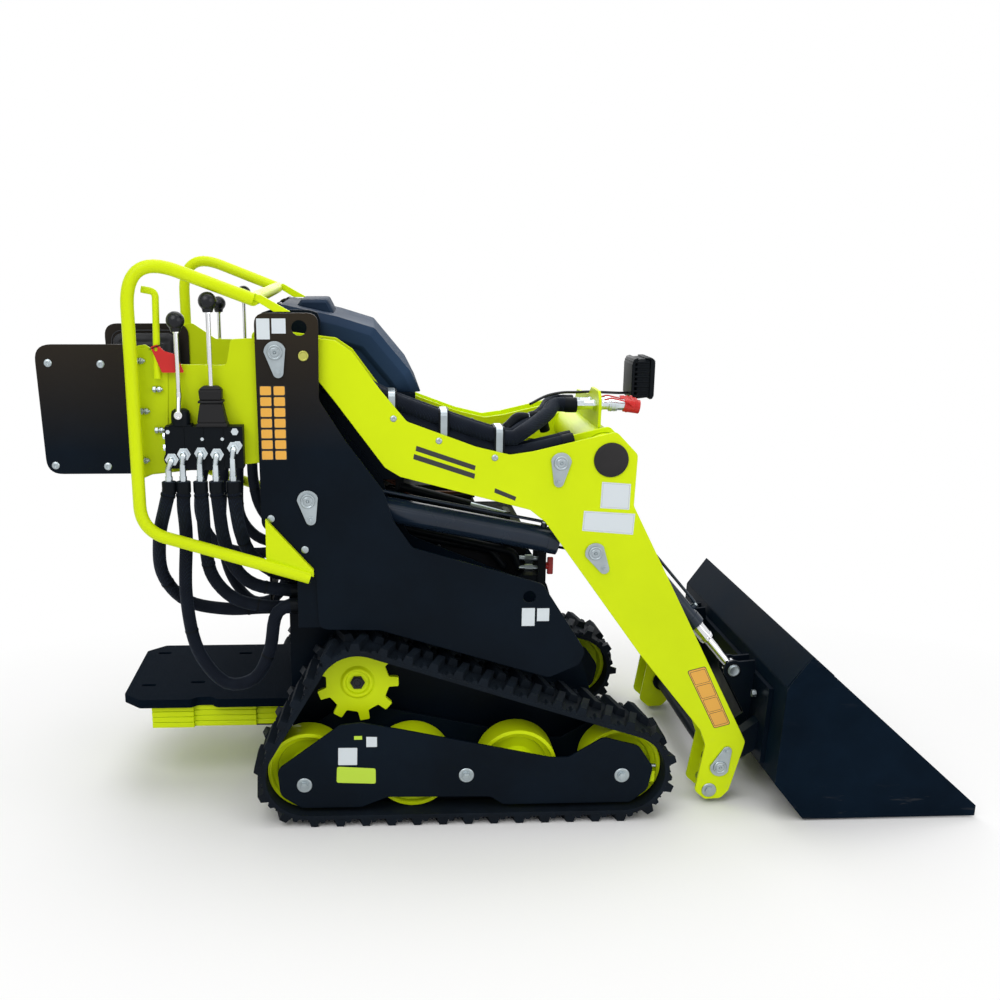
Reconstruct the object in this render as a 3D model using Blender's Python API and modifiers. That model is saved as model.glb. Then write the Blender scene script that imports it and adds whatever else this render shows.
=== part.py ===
"""Mini skid steer loader: a stand-on, tracked loader with lift arms and a bucket.

Frame: +X forward (bucket), +Y left, +Z up, metres. The origin is on the ground, in the middle
of the machine's length and width. Pieces that come in pairs are written for the left side, at
+Y, and mirrored to the right side.
"""
import math

import bmesh
import bpy
from mathutils import Matrix, Vector

# General clearances and sheet thicknesses
GAP = 0.0003
RUN = 0.0005
PLATE = 0.008
SHEET = 0.006

# Track loop: two idlers of one size on the ground run and a raised rear sprocket
TRACK_OUTER_Y = 0.480
TRACK_WIDTH = 0.180
TRACK_INNER_Y = TRACK_OUTER_Y - TRACK_WIDTH
TRACK_MID_Y = TRACK_OUTER_Y - TRACK_WIDTH / 2
BELT = 0.014
LUG_HEIGHT = 0.020
LUG_LENGTH = 0.030
LUG_TIP = 0.020
LUG_SKEW = 0.024
LUG_COUNT = 37
GROOVE_DEPTH = 0.009
FRONT_IDLER_X = 0.262
REAR_IDLER_X = -0.583
WHEEL_R = 0.108
WHEEL_RUN = 0.0015
WHEEL_Z = WHEEL_R + BELT + LUG_HEIGHT
SPROCKET_X = -0.448
SPROCKET_Z = 0.380
SPROCKET_BELT_R = 0.102
SPROCKET_TEETH = 9
SPROCKET_T = 0.014
SPROCKET_TIP_R = SPROCKET_BELT_R + GROOVE_DEPTH - 0.002
SPROCKET_ROOT_R = 0.084
MOTOR_R = 0.060

# Road wheels and the frame that carries them
WHEEL_COUNT = 4
WHEEL_HALF_W = 0.040
RIM_W = 0.028
RIM_T = 0.011
HUB_R = 0.030
AXLE_R = 0.012
FRAME_OUTER_Y = 0.460
FRAME_INNER_Y = 0.322

# Towers: an inner plate that runs down into the chassis tub and an outer plate over the track
SIDE_Y = 0.262
TOWER_Y = 0.400
TOWER_T = 0.010
TOWER_TOP_Z = 1.342
TOWER_REAR_X = -0.689
HIP_REACH = 0.537
MACHINE_REAR_X = TOWER_REAR_X - HIP_REACH

# Pin centres on the chassis, (x, z)
PIVOT = (-0.640, 1.248)
LIFT_BASE = (-0.568, 0.876)

# Lift arms: two plates each, with a bay between them for the lift cylinder
ARM_OUTER_Y = 0.385
ARM_T = 0.008
ARM_INNER_Y = 0.285
ARM_MID_Y = (ARM_INNER_Y + ARM_OUTER_Y) / 2
CROSS_TUBE = (0.207, 0.972)
CROSS_TUBE_R = 0.055
TILT_BASE = (0.078, 0.965)
LIFT_EYE = (0.176, 0.726)
HITCH_PIN = (0.547, 0.112)
STOP_BOLT = (0.522, 0.042)
PIN_R = 0.0175
PIVOT_BOSS_R = 0.036
ARM_HOSE_R = 0.0195
STRAP_X = (-0.354, -0.222, -0.080)
STRAP_W = 0.018
STRAP_T = 0.004
COUPLER_REAR_X = 0.150
COUPLER_Z = 1.085
COUPLER_Y = (-0.175, -0.115)
HITCH_TUBE_R = 0.020

# Tilt cylinders, inboard of the arms, and their ears on the hitch
TILT_Y = 0.245
TILT_EYE = (0.604, 0.352)
EAR_T = 0.009
EAR_GAP = 0.040

# Cylinder sizes
LIFT_BARREL_R = 0.034
LIFT_ROD_R = 0.0175
LIFT_CLOSED_GAP = 0.094
LIFT_ROD_ROOM = 0.049
LIFT_EYE_R = 0.032
TILT_BARREL_R = 0.026
TILT_ROD_R = 0.0125
TILT_CLOSED_GAP = 0.168
TILT_GLAND_R = 0.019
TILT_GLAND_LENGTH = 0.056
TILT_ROD_ROOM = 0.108
TILT_EYE_R = 0.023
BARREL_HEAD = 0.090

# Bucket and hitch
BUCKET_HALF_W = 0.494
BUCKET_BOTTOM_Z = 0.006
BUCKET_BACK_LOW = (0.665, 0.109)
BUCKET_BACK_BEND = (0.677, 0.380)
BUCKET_LIP = (0.739, 0.469)
BUCKET_HEEL_X = 0.749
BUCKET_FLOOR_LENGTH = 0.4757
BUCKET_EDGE_X = BUCKET_HEEL_X + BUCKET_FLOOR_LENGTH
EDGE_T = 0.014
EDGE_DEPTH = 0.120
HITCH_T = 0.012
HITCH_HALF_W = 0.400
HITCH_BOTTOM_Z = 0.128
HITCH_TOP_Z = 0.345

# Operator's station
PANEL_T = 0.006
PANEL_Y = TOWER_Y - GAP - PANEL_T
HIP_T = 0.007
HIP_Y = PANEL_Y - GAP - HIP_T
PAD_T = 0.045
GUARD_R = 0.016
GUARD_Y = 0.450
PLATFORM_REAR_X = -1.110
PLATFORM_FRONT_X = -0.622
PLATFORM_HALF_W = 0.230
PLATFORM_TOP_Z = 0.270
PLATFORM_T = 0.025
WEIGHT_COUNT = 4
WEIGHT_T = 0.0165
BAR_T = 0.022

# Chassis tub
TUB_REAR_X = -0.620
TUB_FRONT_X = 0.185
TUB_BOTTOM_Z = 0.100
TUB_TOP_Z = 0.520
RAIL_TOP_Z = 0.380

# Hood
HOOD_REAR_X = -0.645
HOOD_TOP_Z = 1.352
HOOD_FRONT_X = -0.275
HOOD_BOTTOM_Z = 1.130
HOOD_SIDE_GAP = 0.014
HOOD_HALF_W = SIDE_Y - HOOD_SIDE_GAP
HOOD_WALL = 0.005

# Valves, levers and hoses
VALVE_X = (-0.913, -0.722)
VALVE_Z = (0.962, 1.070)
VALVE_DEPTH = 0.040
PORT_X = (-0.907, -0.872, -0.830, -0.791, -0.749)
PORT_RISE = 0.042
PORT_Z = VALVE_Z[0] + PORT_RISE
HOSE_R = 0.017
HOSE_TOP_Z = 0.935
MANIFOLD_X = (-0.600, -0.530)
MANIFOLD_Z = (0.535, 0.675)

COLLECTION = "mini_skid_steer_loader"


# Scene and materials

def clear_scene():
    for obj in list(bpy.data.objects):
        bpy.data.objects.remove(obj, do_unlink=True)
    for coll in list(bpy.data.collections):
        bpy.data.collections.remove(coll)


def make_collection(name):
    coll = bpy.data.collections.new(name)
    bpy.context.scene.collection.children.link(coll)
    return coll


def material(name, colour, roughness, metallic):
    mat = bpy.data.materials.new(name)
    mat.use_nodes = True
    bsdf = mat.node_tree.nodes["Principled BSDF"]
    bsdf.inputs["Base Color"].default_value = (*colour, 1)
    bsdf.inputs["Roughness"].default_value = roughness
    bsdf.inputs["Metallic"].default_value = metallic
    mat.diffuse_color = (*colour, 1)
    return mat


# Mesh helpers: each returns a temporary object whose mesh is in world coordinates

def as_object(mesh, name="piece"):
    obj = bpy.data.objects.new(name, mesh)
    bpy.context.scene.collection.objects.link(obj)
    return obj


def from_bmesh(bm, name="piece"):
    bmesh.ops.recalc_face_normals(bm, faces=bm.faces)
    mesh = bpy.data.meshes.new(name)
    bm.to_mesh(mesh)
    bm.free()
    return as_object(mesh, name)


def baked(obj, weld=0.0):
    """Replace an object by a plain mesh of what the viewport shows, in world coordinates."""
    bpy.context.view_layer.update()
    depsgraph = bpy.context.evaluated_depsgraph_get()
    mesh = bpy.data.meshes.new_from_object(obj.evaluated_get(depsgraph), depsgraph=depsgraph)
    mesh.transform(obj.matrix_world)
    bm = bmesh.new()
    bm.from_mesh(mesh)
    if weld:
        bmesh.ops.remove_doubles(bm, verts=bm.verts, dist=weld)
    bpy.data.meshes.remove(mesh)
    bpy.data.objects.remove(obj, do_unlink=True)
    return from_bmesh(bm)


def block(x, y, z):
    """A box from three (low, high) pairs."""
    bm = bmesh.new()
    bmesh.ops.create_cube(bm, size=1.0)
    size = [hi - lo for lo, hi in (x, y, z)]
    mid = [(hi + lo) / 2 for lo, hi in (x, y, z)]
    bmesh.ops.scale(bm, vec=size, verts=bm.verts)
    bmesh.ops.translate(bm, vec=mid, verts=bm.verts)
    return from_bmesh(bm)


def rod(start, end, radius, sides=16, radius_end=None):
    """A round bar, or a cone where radius_end is given, from one point to another."""
    a, b = Vector(start), Vector(end)
    bm = bmesh.new()
    bmesh.ops.create_cone(bm, cap_ends=True, segments=sides, radius1=radius,
                          radius2=radius if radius_end is None else radius_end,
                          depth=(b - a).length)
    turn = (b - a).to_track_quat("Z", "X").to_matrix().to_4x4()
    bmesh.ops.transform(bm, matrix=Matrix.Translation((a + b) / 2) @ turn, verts=bm.verts)
    return from_bmesh(bm)


def cross_rod(centre, y0, y1, radius, sides=16):
    """A round bar along Y through a point of the side view."""
    return rod((centre[0], y0, centre[1]), (centre[0], y1, centre[1]), radius, sides)


def turning_hole(radius, sides=12):
    """The corner radius of a faceted hole whose flats clear a round pin that turns in it."""
    return (radius + GAP) / math.cos(math.pi / sides)


def ball(centre, radius, sides=12):
    bm = bmesh.new()
    bmesh.ops.create_uvsphere(bm, u_segments=sides, v_segments=sides // 2, radius=radius)
    bmesh.ops.translate(bm, vec=centre, verts=bm.verts)
    return from_bmesh(bm)


def slab(outline, y0, y1):
    """A plate with an outline in the side view, (x, z) points, from y0 to y1."""
    curve = bpy.data.curves.new("outline", "CURVE")
    curve.dimensions = "2D"
    curve.fill_mode = "BOTH"
    curve.extrude = abs(y1 - y0) / 2
    spline = curve.splines.new("POLY")
    spline.points.add(len(outline) - 1)
    for point, (x, z) in zip(spline.points, outline):
        point.co = (x, z, 0, 1)
    spline.use_cyclic_u = True
    obj = as_object(curve)
    obj.matrix_world = Matrix.Translation((0, (y0 + y1) / 2, 0)) @ Matrix.Rotation(
        math.radians(90), 4, "X")
    return baked(obj, weld=1e-6)


def pipe(points, radius, resolution=2):
    """A tube along a list of points, with filled ends."""
    curve = bpy.data.curves.new("route", "CURVE")
    curve.dimensions = "3D"
    curve.bevel_depth = radius
    curve.bevel_resolution = resolution
    curve.use_fill_caps = True
    spline = curve.splines.new("POLY")
    spline.points.add(len(points) - 1)
    for point, place in zip(spline.points, points):
        point.co = (*place, 1)
    return baked(as_object(curve), weld=1e-6)


def turned(profile, centre, steps=16):
    """A solid turned about an axis along Y; the profile is (radius, y) points, axis to axis."""
    mesh = bpy.data.meshes.new("profile")
    mesh.from_pydata([(r, 0, y) for r, y in profile], [(i, i + 1) for i in range(len(profile) - 1)], [])
    obj = as_object(mesh)
    screw = obj.modifiers.new("turn", "SCREW")
    screw.axis = "Z"
    screw.steps = steps
    screw.render_steps = steps
    screw.use_merge_vertices = True
    screw.merge_threshold = 0.0001
    obj.matrix_world = Matrix.Translation((centre[0], 0, centre[1])) @ Matrix.Rotation(
        math.radians(-90), 4, "X")
    return baked(obj)


def boolean(target, tools, operation):
    """Join or cut a piece with all its tools in one step."""
    cutters = make_collection("cutters")
    for tool in tools:
        bpy.context.scene.collection.objects.unlink(tool)
        cutters.objects.link(tool)
    step = target.modifiers.new(operation.lower(), "BOOLEAN")
    step.operation = operation
    step.solver = "EXACT"
    step.operand_type = "COLLECTION"
    step.collection = cutters
    target = baked(target)
    for tool in tools:
        bpy.data.objects.remove(tool, do_unlink=True)
    bpy.data.collections.remove(cutters)
    return target


def joined(*pieces):
    """One solid from pieces that overlap."""
    return boolean(pieces[0], pieces[1:], "UNION")


def drilled(target, *cutters):
    return boolean(target, cutters, "DIFFERENCE")


def mirrored(obj):
    """A copy for the right side."""
    bm = bmesh.new()
    bm.from_mesh(obj.data)
    bmesh.ops.scale(bm, vec=(1, -1, 1), verts=bm.verts)
    bmesh.ops.reverse_faces(bm, faces=bm.faces)
    return from_bmesh(bm)


def finish(obj, name, mat, parent=None):
    """Name a piece, give it its material and hang it on its joint's empty."""
    obj.name = name
    obj.data.name = name
    obj.data.materials.clear()
    obj.data.materials.append(mat)
    for coll in list(obj.users_collection):
        coll.objects.unlink(obj)
    bpy.data.collections[COLLECTION].objects.link(obj)
    if parent:
        obj.parent = parent
        obj.matrix_parent_inverse = parent.matrix_world.inverted()
    return obj


def pivot(name, place, parent=None):
    """An empty on a joint's axis."""
    empty = bpy.data.objects.new(name, None)
    empty.empty_display_size = 0.1
    bpy.data.collections[COLLECTION].objects.link(empty)
    empty.location = place
    bpy.context.view_layer.update()
    if parent:
        empty.parent = parent
        empty.matrix_parent_inverse = parent.matrix_world.inverted()
        bpy.context.view_layer.update()
    return empty


# Outlines in the side view

def arc(centre, radius, start, end, count):
    """Points of an arc, from one angle to another in degrees."""
    steps = [start + (end - start) * i / (count - 1) for i in range(count)]
    return [(centre[0] + radius * math.cos(math.radians(a)),
             centre[1] + radius * math.sin(math.radians(a))) for a in steps]


def rounded(corners, radius, count=4):
    """A closed outline with each corner rounded by up to the given radius."""
    points = []
    size = len(corners)
    for i in range(size):
        here = Vector(corners[i])
        back = Vector(corners[i - 1]) - here
        ahead = Vector(corners[(i + 1) % size]) - here
        half = back.angle(ahead) / 2
        reach = min(radius / math.tan(half), 0.45 * back.length, 0.45 * ahead.length)
        p, q = here + back.normalized() * reach, here + ahead.normalized() * reach
        for k in range(count):
            t = k / (count - 1)
            points.append(tuple((1 - t) ** 2 * p + 2 * t * (1 - t) * here + t ** 2 * q))
    return points


def bent_path(corners, radius, count=6):
    """A route in space with its inner corners rounded."""
    points = [Vector(corners[0])]
    for i in range(1, len(corners) - 1):
        here = Vector(corners[i])
        back = Vector(corners[i - 1]) - here
        ahead = Vector(corners[i + 1]) - here
        half = back.angle(ahead) / 2
        reach = min(radius / math.tan(half), 0.48 * back.length, 0.48 * ahead.length)
        p, q = here + back.normalized() * reach, here + ahead.normalized() * reach
        for k in range(count):
            t = k / (count - 1)
            points.append((1 - t) ** 2 * p + 2 * t * (1 - t) * here + t ** 2 * q)
    points.append(Vector(corners[-1]))
    return points


def smooth_route(knots, spacing):
    """Points read at even steps along a smooth curve through the knots."""
    knots = [Vector(k) for k in knots]
    ends = [2 * knots[0] - knots[1]] + knots + [2 * knots[-1] - knots[-2]]
    fine = []
    for a, b, c, d in zip(ends, ends[1:], ends[2:], ends[3:]):
        for k in range(12):
            t = k / 12
            fine.append(0.5 * (2 * b + (c - a) * t + (2 * a - 5 * b + 4 * c - d) * t ** 2
                               + (3 * b - a - 3 * c + d) * t ** 3))
    fine.append(knots[-1])
    length = sum((q - p).length for p, q in zip(fine, fine[1:]))
    count = max(4, round(length / spacing))
    return [point_along(fine, length * i / count) for i in range(count + 1)]


def point_along(points, distance):
    for p, q in zip(points, points[1:]):
        step = (q - p).length
        if distance <= step:
            return p.lerp(q, distance / step)
        distance -= step
    return points[-1]


def track_circles():
    """The three round supports of the track, in order round the loop: (x, z, inner radius)."""
    return [(FRONT_IDLER_X, WHEEL_Z, WHEEL_R), (SPROCKET_X, SPROCKET_Z, SPROCKET_BELT_R),
            (REAR_IDLER_X, WHEEL_Z, WHEEL_R)]


def tangent_angle(one, two):
    """Direction of the outward normal of the straight run from one circle to the next."""
    dx, dz = two[0] - one[0], two[1] - one[1]
    return math.atan2(dz, dx) - math.pi / 2 + math.asin((one[2] - two[2]) / math.hypot(dx, dz))


def loop_samples(step=math.radians(15)):
    """The track's inner line as (point, outward normal), arcs by equal steps."""
    circles = track_circles()
    samples = []
    for i, here in enumerate(circles):
        first = tangent_angle(circles[i - 1], here)
        last = tangent_angle(here, circles[(i + 1) % 3])
        while last < first:
            last += 2 * math.pi
        count = max(2, math.ceil((last - first) / step))
        for k in range(count + 1):
            a = first + (last - first) * k / count
            normal = Vector((math.cos(a), math.sin(a)))
            samples.append((Vector(here[:2]) + here[2] * normal, normal))
    return samples


def loop_outline(offset):
    return [tuple(p + n * offset) for p, n in loop_samples()]


def loop_places(count, shift):
    """Evenly spaced places on the belt's outer face: (point, outward normal, bend)."""
    samples = loop_samples()
    samples.append(samples[0])
    at = [0.0]
    for (p, _), (q, _) in zip(samples, samples[1:]):
        at.append(at[-1] + (q - p).length)
    places = []
    for k in range(count):
        distance = (k + shift) * at[-1] / count
        i = max(j for j in range(len(at) - 1) if at[j] <= distance)
        t = (distance - at[i]) / (at[i + 1] - at[i])
        normal = samples[i][1].lerp(samples[i + 1][1], t).normalized()
        turn = samples[i][1].angle(samples[i + 1][1])
        bend = 1 / ((at[i + 1] - at[i]) / turn + BELT + LUG_HEIGHT) if turn > 0.01 else 0
        places.append((samples[i][0].lerp(samples[i + 1][0], t) + normal * BELT, normal, bend))
    return places


# Undercarriage

def make_lugs(y0, y1, skew, shift):
    """One row of lugs across half the belt, slanted like a chevron, as one mesh."""
    bm = bmesh.new()
    length, middle = y1 - y0, (y0 + y1) / 2
    sunk = 0.004
    for place, normal, bend in loop_places(LUG_COUNT, shift):
        new = bmesh.ops.create_cube(bm, size=1.0)["verts"]
        run = Vector((normal.y, -normal.x))
        for v in new:
            top = v.co.z > 0
            along = v.co.x * (LUG_TIP if top else LUG_LENGTH) + v.co.y * skew
            out = (LUG_HEIGHT if top else -sunk) - bend * along ** 2 / 2
            spot = place + run * along + normal * out
            v.co = (spot.x, middle + v.co.y * length, spot.y)
    return from_bmesh(bm)


def make_track():
    belt = slab(loop_outline(BELT), TRACK_INNER_Y, TRACK_OUTER_Y)
    inset = 0.001
    belt = joined(belt, make_lugs(TRACK_INNER_Y + inset, TRACK_MID_Y - inset, LUG_SKEW, 0.25),
                  make_lugs(TRACK_MID_Y + inset, TRACK_OUTER_Y - inset, -LUG_SKEW, 0.75))
    hole = slab(loop_outline(0), TRACK_INNER_Y - 0.01, TRACK_OUTER_Y + 0.01)
    groove_half = SPROCKET_T / 2 + 0.004
    groove = slab(loop_outline(GROOVE_DEPTH), TRACK_MID_Y - groove_half, TRACK_MID_Y + groove_half)
    return drilled(belt, hole, groove)


def wheel_profile():
    """Half a wheel in section, dished on its outer side: (radius, y from the wheel's middle)."""
    rim, half = WHEEL_R - WHEEL_RUN, WHEEL_HALF_W
    inner, dish = rim - RIM_T, half - RIM_W
    return [(0, -half), (HUB_R, -half), (HUB_R + 0.014, -dish), (inner, -dish), (inner, -half),
            (rim, -half), (rim, half), (inner, half), (inner, dish), (HUB_R + 0.014, dish),
            (HUB_R, half), (0, half)]


def wheel_places():
    step = (FRONT_IDLER_X - REAR_IDLER_X) / (WHEEL_COUNT - 1)
    return [REAR_IDLER_X + step * i for i in range(WHEEL_COUNT)]


def make_wheels():
    profile = [(r, TRACK_MID_Y + y) for r, y in wheel_profile()]
    return [turned(profile, (x, WHEEL_Z), 12) for x in wheel_places()]


def frame_outline():
    """The track frame's plate, clear of the belt: (x, z) corners from the rear, clockwise."""
    corners = [(-0.655, 0.085), (-0.662, 0.160), (-0.495, 0.284), (-0.440, 0.290),
               (-0.330, 0.268), (0.065, 0.182), (0.113, 0.182), (0.205, 0.238),
               (0.300, 0.212), (0.342, 0.150), (0.330, 0.085), (0.285, 0.048), (-0.060, 0.048),
               (-0.096, 0.072), (-0.370, 0.076), (-0.440, 0.048), (-0.600, 0.048)]
    return rounded(corners, 0.030, 2)


def make_track_frame():
    outline = frame_outline()
    outer = slab(outline, FRAME_OUTER_Y - PLATE, FRAME_OUTER_Y)
    inner = slab(outline, FRAME_INNER_Y, FRAME_INNER_Y + PLATE)
    parts = [outer, inner]
    overlap = 0.002
    y0, y1 = FRAME_INNER_Y + PLATE - overlap, FRAME_OUTER_Y - PLATE + overlap
    hub0, hub1 = TRACK_MID_Y - WHEEL_HALF_W + overlap, TRACK_MID_Y + WHEEL_HALF_W - overlap
    for x in wheel_places():
        parts.append(cross_rod((x, WHEEL_Z), y0, hub0, AXLE_R, 6))
        parts.append(cross_rod((x, WHEEL_Z), hub1, y1, AXLE_R, 6))
    spacer_x = (wheel_places()[1] + wheel_places()[2]) / 2
    parts.append(cross_rod((spacer_x, WHEEL_Z), y0, y1, 0.016, 8))
    for x in (REAR_IDLER_X, spacer_x, FRONT_IDLER_X):
        parts.append(cross_rod((x, WHEEL_Z), FRAME_OUTER_Y - overlap, FRAME_OUTER_Y + 0.004, 0.019, 12))
        parts.append(cross_rod((x, WHEEL_Z), FRAME_OUTER_Y + 0.002, FRAME_OUTER_Y + 0.011, 0.010, 6))
    for x in (-0.400, 0.050):
        parts.append(block((x - 0.035, x + 0.035), (SIDE_Y + PLATE + GAP, FRAME_INNER_Y + overlap),
                           (0.115, 0.175)))
    return joined(*parts, *make_wheels())


def sprocket_outline():
    """A gear's outline: flat-topped teeth with straight flanks."""
    points = []
    step = 2 * math.pi / SPROCKET_TEETH
    for i in range(SPROCKET_TEETH):
        for share, radius in ((-0.27, SPROCKET_ROOT_R), (-0.16, SPROCKET_TIP_R),
                              (0.16, SPROCKET_TIP_R), (0.27, SPROCKET_ROOT_R)):
            a = (i + share) * step
            points.append((SPROCKET_X + radius * math.cos(a), SPROCKET_Z + radius * math.sin(a)))
    return points


def make_sprocket():
    y0, y1 = TRACK_MID_Y - SPROCKET_T / 2, TRACK_MID_Y + SPROCKET_T / 2
    centre = (SPROCKET_X, SPROCKET_Z)
    gear = slab(sprocket_outline(), y0, y1)
    motor = cross_rod(centre, SIDE_Y + PLATE + GAP, y0 - 0.012, MOTOR_R, 16)
    hub = cross_rod(centre, y0 - 0.030, y1 + 0.010, 0.044, 16)
    return joined(gear, motor, hub)


# Chassis and towers

def tower_upper():
    """Corners that the tower's two plates share, from the rear edge over the top to the front."""
    return [(TOWER_REAR_X + 0.003, 0.812), (TOWER_REAR_X, TOWER_TOP_Z), (-0.533, TOWER_TOP_Z),
            (-0.535, 1.130), (-0.472, 1.029), (-0.377, 0.901), (-0.352, 0.822), (-0.303, 0.748),
            (0.048, 0.602), (0.155, 0.449)]


def outer_tower_outline():
    """The outer plate, whose lower edge follows the track's upper run."""
    corners = tower_upper() + [(0.140, 0.425), (0.060, 0.390), (-0.387, 0.528),
                               (-0.546, 0.532), (-0.551, 0.678)]
    return rounded(corners, 0.028, 3)


def inner_side_outline():
    corners = tower_upper() + [(0.200, 0.300), (0.200, 0.130), (0.170, TUB_BOTTOM_Z),
                               (-0.580, TUB_BOTTOM_Z), (TUB_REAR_X - 0.010, 0.140),
                               (TUB_REAR_X - 0.012, 0.640)]
    return rounded(corners, 0.028, 3)


def make_tower():
    """The outer plate with the web and feet that hold it to the inner plate."""
    plate = slab(outer_tower_outline(), TOWER_Y, TOWER_Y + TOWER_T)
    y0, y1 = SIDE_Y + PLATE + GAP, TOWER_Y + 0.002
    web_x = (TOWER_REAR_X + 0.004, TOWER_REAR_X + 0.004 + PLATE)
    web = block(web_x, (y0, y1), (0.850, 0.925))
    upper = block(web_x, (y0, PANEL_Y - GAP), (0.923, 1.160))
    sill = block((-0.300, -0.020), (y0, y1), (0.585, 0.600))
    manifold = block(MANIFOLD_X, (y0, y1), MANIFOLD_Z)
    tower = joined(plate, web, upper, sill, manifold, *make_tower_pins())
    holes = [cross_rod((-0.580, 1.306), y0 + 0.05, y1 + TOWER_T, 0.019, 16),
             cross_rod((0.003, 0.610), y0 + 0.05, y1 + TOWER_T, 0.013, 12)]
    return drilled(tower, *holes)


def make_chassis():
    outline = inner_side_outline()
    left = slab(outline, SIDE_Y, SIDE_Y + PLATE)
    right = slab(outline, -SIDE_Y - PLATE, -SIDE_Y)
    reach = SIDE_Y + 0.002
    floor = block((TUB_REAR_X + 0.02, TUB_FRONT_X), (-reach, reach), (TUB_BOTTOM_Z + 0.01,
                                                                   TUB_BOTTOM_Z + 0.01 + PLATE))
    front = block((TUB_FRONT_X - PLATE, TUB_FRONT_X), (-reach, reach), (TUB_BOTTOM_Z + 0.012, 0.330))
    rear = block((TUB_REAR_X, TUB_REAR_X + PLATE), (-reach, reach), (0.160, TUB_TOP_Z))
    parts = [left, right, floor, front, rear]
    for x in (-0.430, -0.080):
        parts.append(block((x - 0.025, x + 0.025), (-reach, reach), (RAIL_TOP_Z - 0.040, RAIL_TOP_Z)))
    bar_top = PLATFORM_TOP_Z - PLATFORM_T - WEIGHT_COUNT * WEIGHT_T - 2 * GAP
    for y in (-0.120, 0.120):
        parts.append(block((-0.990, TUB_REAR_X + 0.004), (y - 0.030, y + 0.030), (bar_top - BAR_T, bar_top)))
    frame = joined(*parts)
    holes = []
    for side in (-1, 1):
        for centre in (PIVOT, LIFT_BASE):
            y0, y1 = sorted((side * (SIDE_Y - 0.01), side * (SIDE_Y + PLATE + 0.01)))
            holes.append(cross_rod(centre, y0, y1, PIN_R + GAP, 12))
    return drilled(frame, *holes)


def make_engine():
    body = block((-0.500, 0.020), (-0.195, 0.195), (RAIL_TOP_Z + GAP, 0.760))
    head = block((-0.470, -0.120), (-0.150, 0.150), (0.740, 0.860))
    return joined(body, head)


def make_cowl():
    """Sheet walls round the engine bay, under the hood."""
    rear, front, half = -0.640, -0.290, SIDE_Y - GAP
    outer = block((rear, front), (-half, half), (0.900, HOOD_BOTTOM_Z - GAP))
    inner = block((rear + SHEET, front - SHEET), (-half + SHEET, half - SHEET), (0.880, 1.200))
    return drilled(outer, inner)


def hood_outline(inset):
    """The hood's side view, rear top corner first; inset shrinks it for the hollow."""
    top, rear, front = HOOD_TOP_Z - inset, HOOD_REAR_X + inset, HOOD_FRONT_X - inset
    low = HOOD_BOTTOM_Z - (0.05 if inset else 0)
    return [(rear, low), (rear, top - 0.010), (rear + 0.010, top), (-0.587, top),
            (-0.490, top - 0.050), (-0.372 - inset * 0.7, top - 0.070),
            (-0.322 - inset * 0.7, top - 0.118), (front, HOOD_BOTTOM_Z + 0.012), (front, low)]


def make_hood():
    shell = slab(hood_outline(0), -HOOD_HALF_W, HOOD_HALF_W)
    hollow = slab(hood_outline(HOOD_WALL), -HOOD_HALF_W + HOOD_WALL, HOOD_HALF_W - HOOD_WALL)
    shell = drilled(shell, hollow)
    crown = slab([(-0.600, HOOD_TOP_Z - 0.003), (-0.590, HOOD_TOP_Z + 0.010),
                  (-0.520, HOOD_TOP_Z + 0.006), (-0.505, HOOD_TOP_Z - 0.041)], -0.110, 0.110)
    return joined(shell, crown)


def make_rear_panel():
    """The sheet between the towers that faces the operator, with a sloped console on top."""
    x0 = TOWER_REAR_X + 0.006
    half = SIDE_Y - GAP
    console = slab([(x0 - 0.060, 1.150), (x0 - 0.060, 1.200), (x0, 1.300), (x0 + 0.016, 1.300),
                    (x0 + 0.016, 1.150)], -half, half)
    sheet = block((x0, x0 + SHEET), (-half, half), (0.560, 1.160))
    return joined(console, sheet)


# Operator's station

def guard_route():
    """The bent guard tube of the left side, from the tower's top to the tower's foot."""
    return bent_path([(-0.690, 0.404, 1.374), (-0.918, 0.436, 1.462), (-0.984, GUARD_Y, 1.400),
                      (-0.981, GUARD_Y, 0.830), (-0.900, 0.446, 0.785),
                      (-0.566, TOWER_Y + TOWER_T + GUARD_R + GAP, 0.678)], 0.060, 5)


def make_guard():
    """Both guard tubes with the tube across their front ends and the straps to the towers."""
    y0 = TOWER_Y + TOWER_T + GAP
    cross = (-0.690, 1.374)
    side = [pipe(guard_route(), GUARD_R, 2),
            slab([(-0.675, 0.832), (-0.556, 0.697), (-0.556, 0.680), (-0.676, 0.716)], y0, y0 + 0.018),
            slab([(-0.698, 1.380), (-0.672, 1.386), (-0.600, 1.345), (-0.640, 1.345)],
                 TOWER_Y - 0.002, TOWER_Y + TOWER_T)]
    reach = 0.404
    return joined(cross_rod(cross, -reach, reach, GUARD_R, 12), *side, *[mirrored(p) for p in side])


def side_panel_outline():
    return rounded([(-0.992, 0.928), (-0.982, 1.262), (-0.955, 1.266), (-0.885, 1.218),
                    (-0.760, 1.216), (-0.748, 1.279), (-0.690, 1.281), (-0.660, 1.270),
                    (-0.660, 0.975), (-0.955, 0.944)], 0.012, 2)


def make_side_panel():
    return slab(side_panel_outline(), PANEL_Y, PANEL_Y + PANEL_T)


def make_hip_plate():
    outline = rounded([(MACHINE_REAR_X + 0.010, 0.945), (MACHINE_REAR_X, 1.266), (-0.968, 1.266),
                       (-0.968, 0.945)], 0.040, 4)
    return slab(outline, HIP_Y, HIP_Y + HIP_T)


def make_hip_pad():
    outline = rounded([(-1.200, 0.970), (-1.204, 1.250), (-0.990, 1.250), (-0.990, 0.970)], 0.035, 4)
    return slab(outline, HIP_Y - GAP - PAD_T, HIP_Y - GAP)


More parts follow.
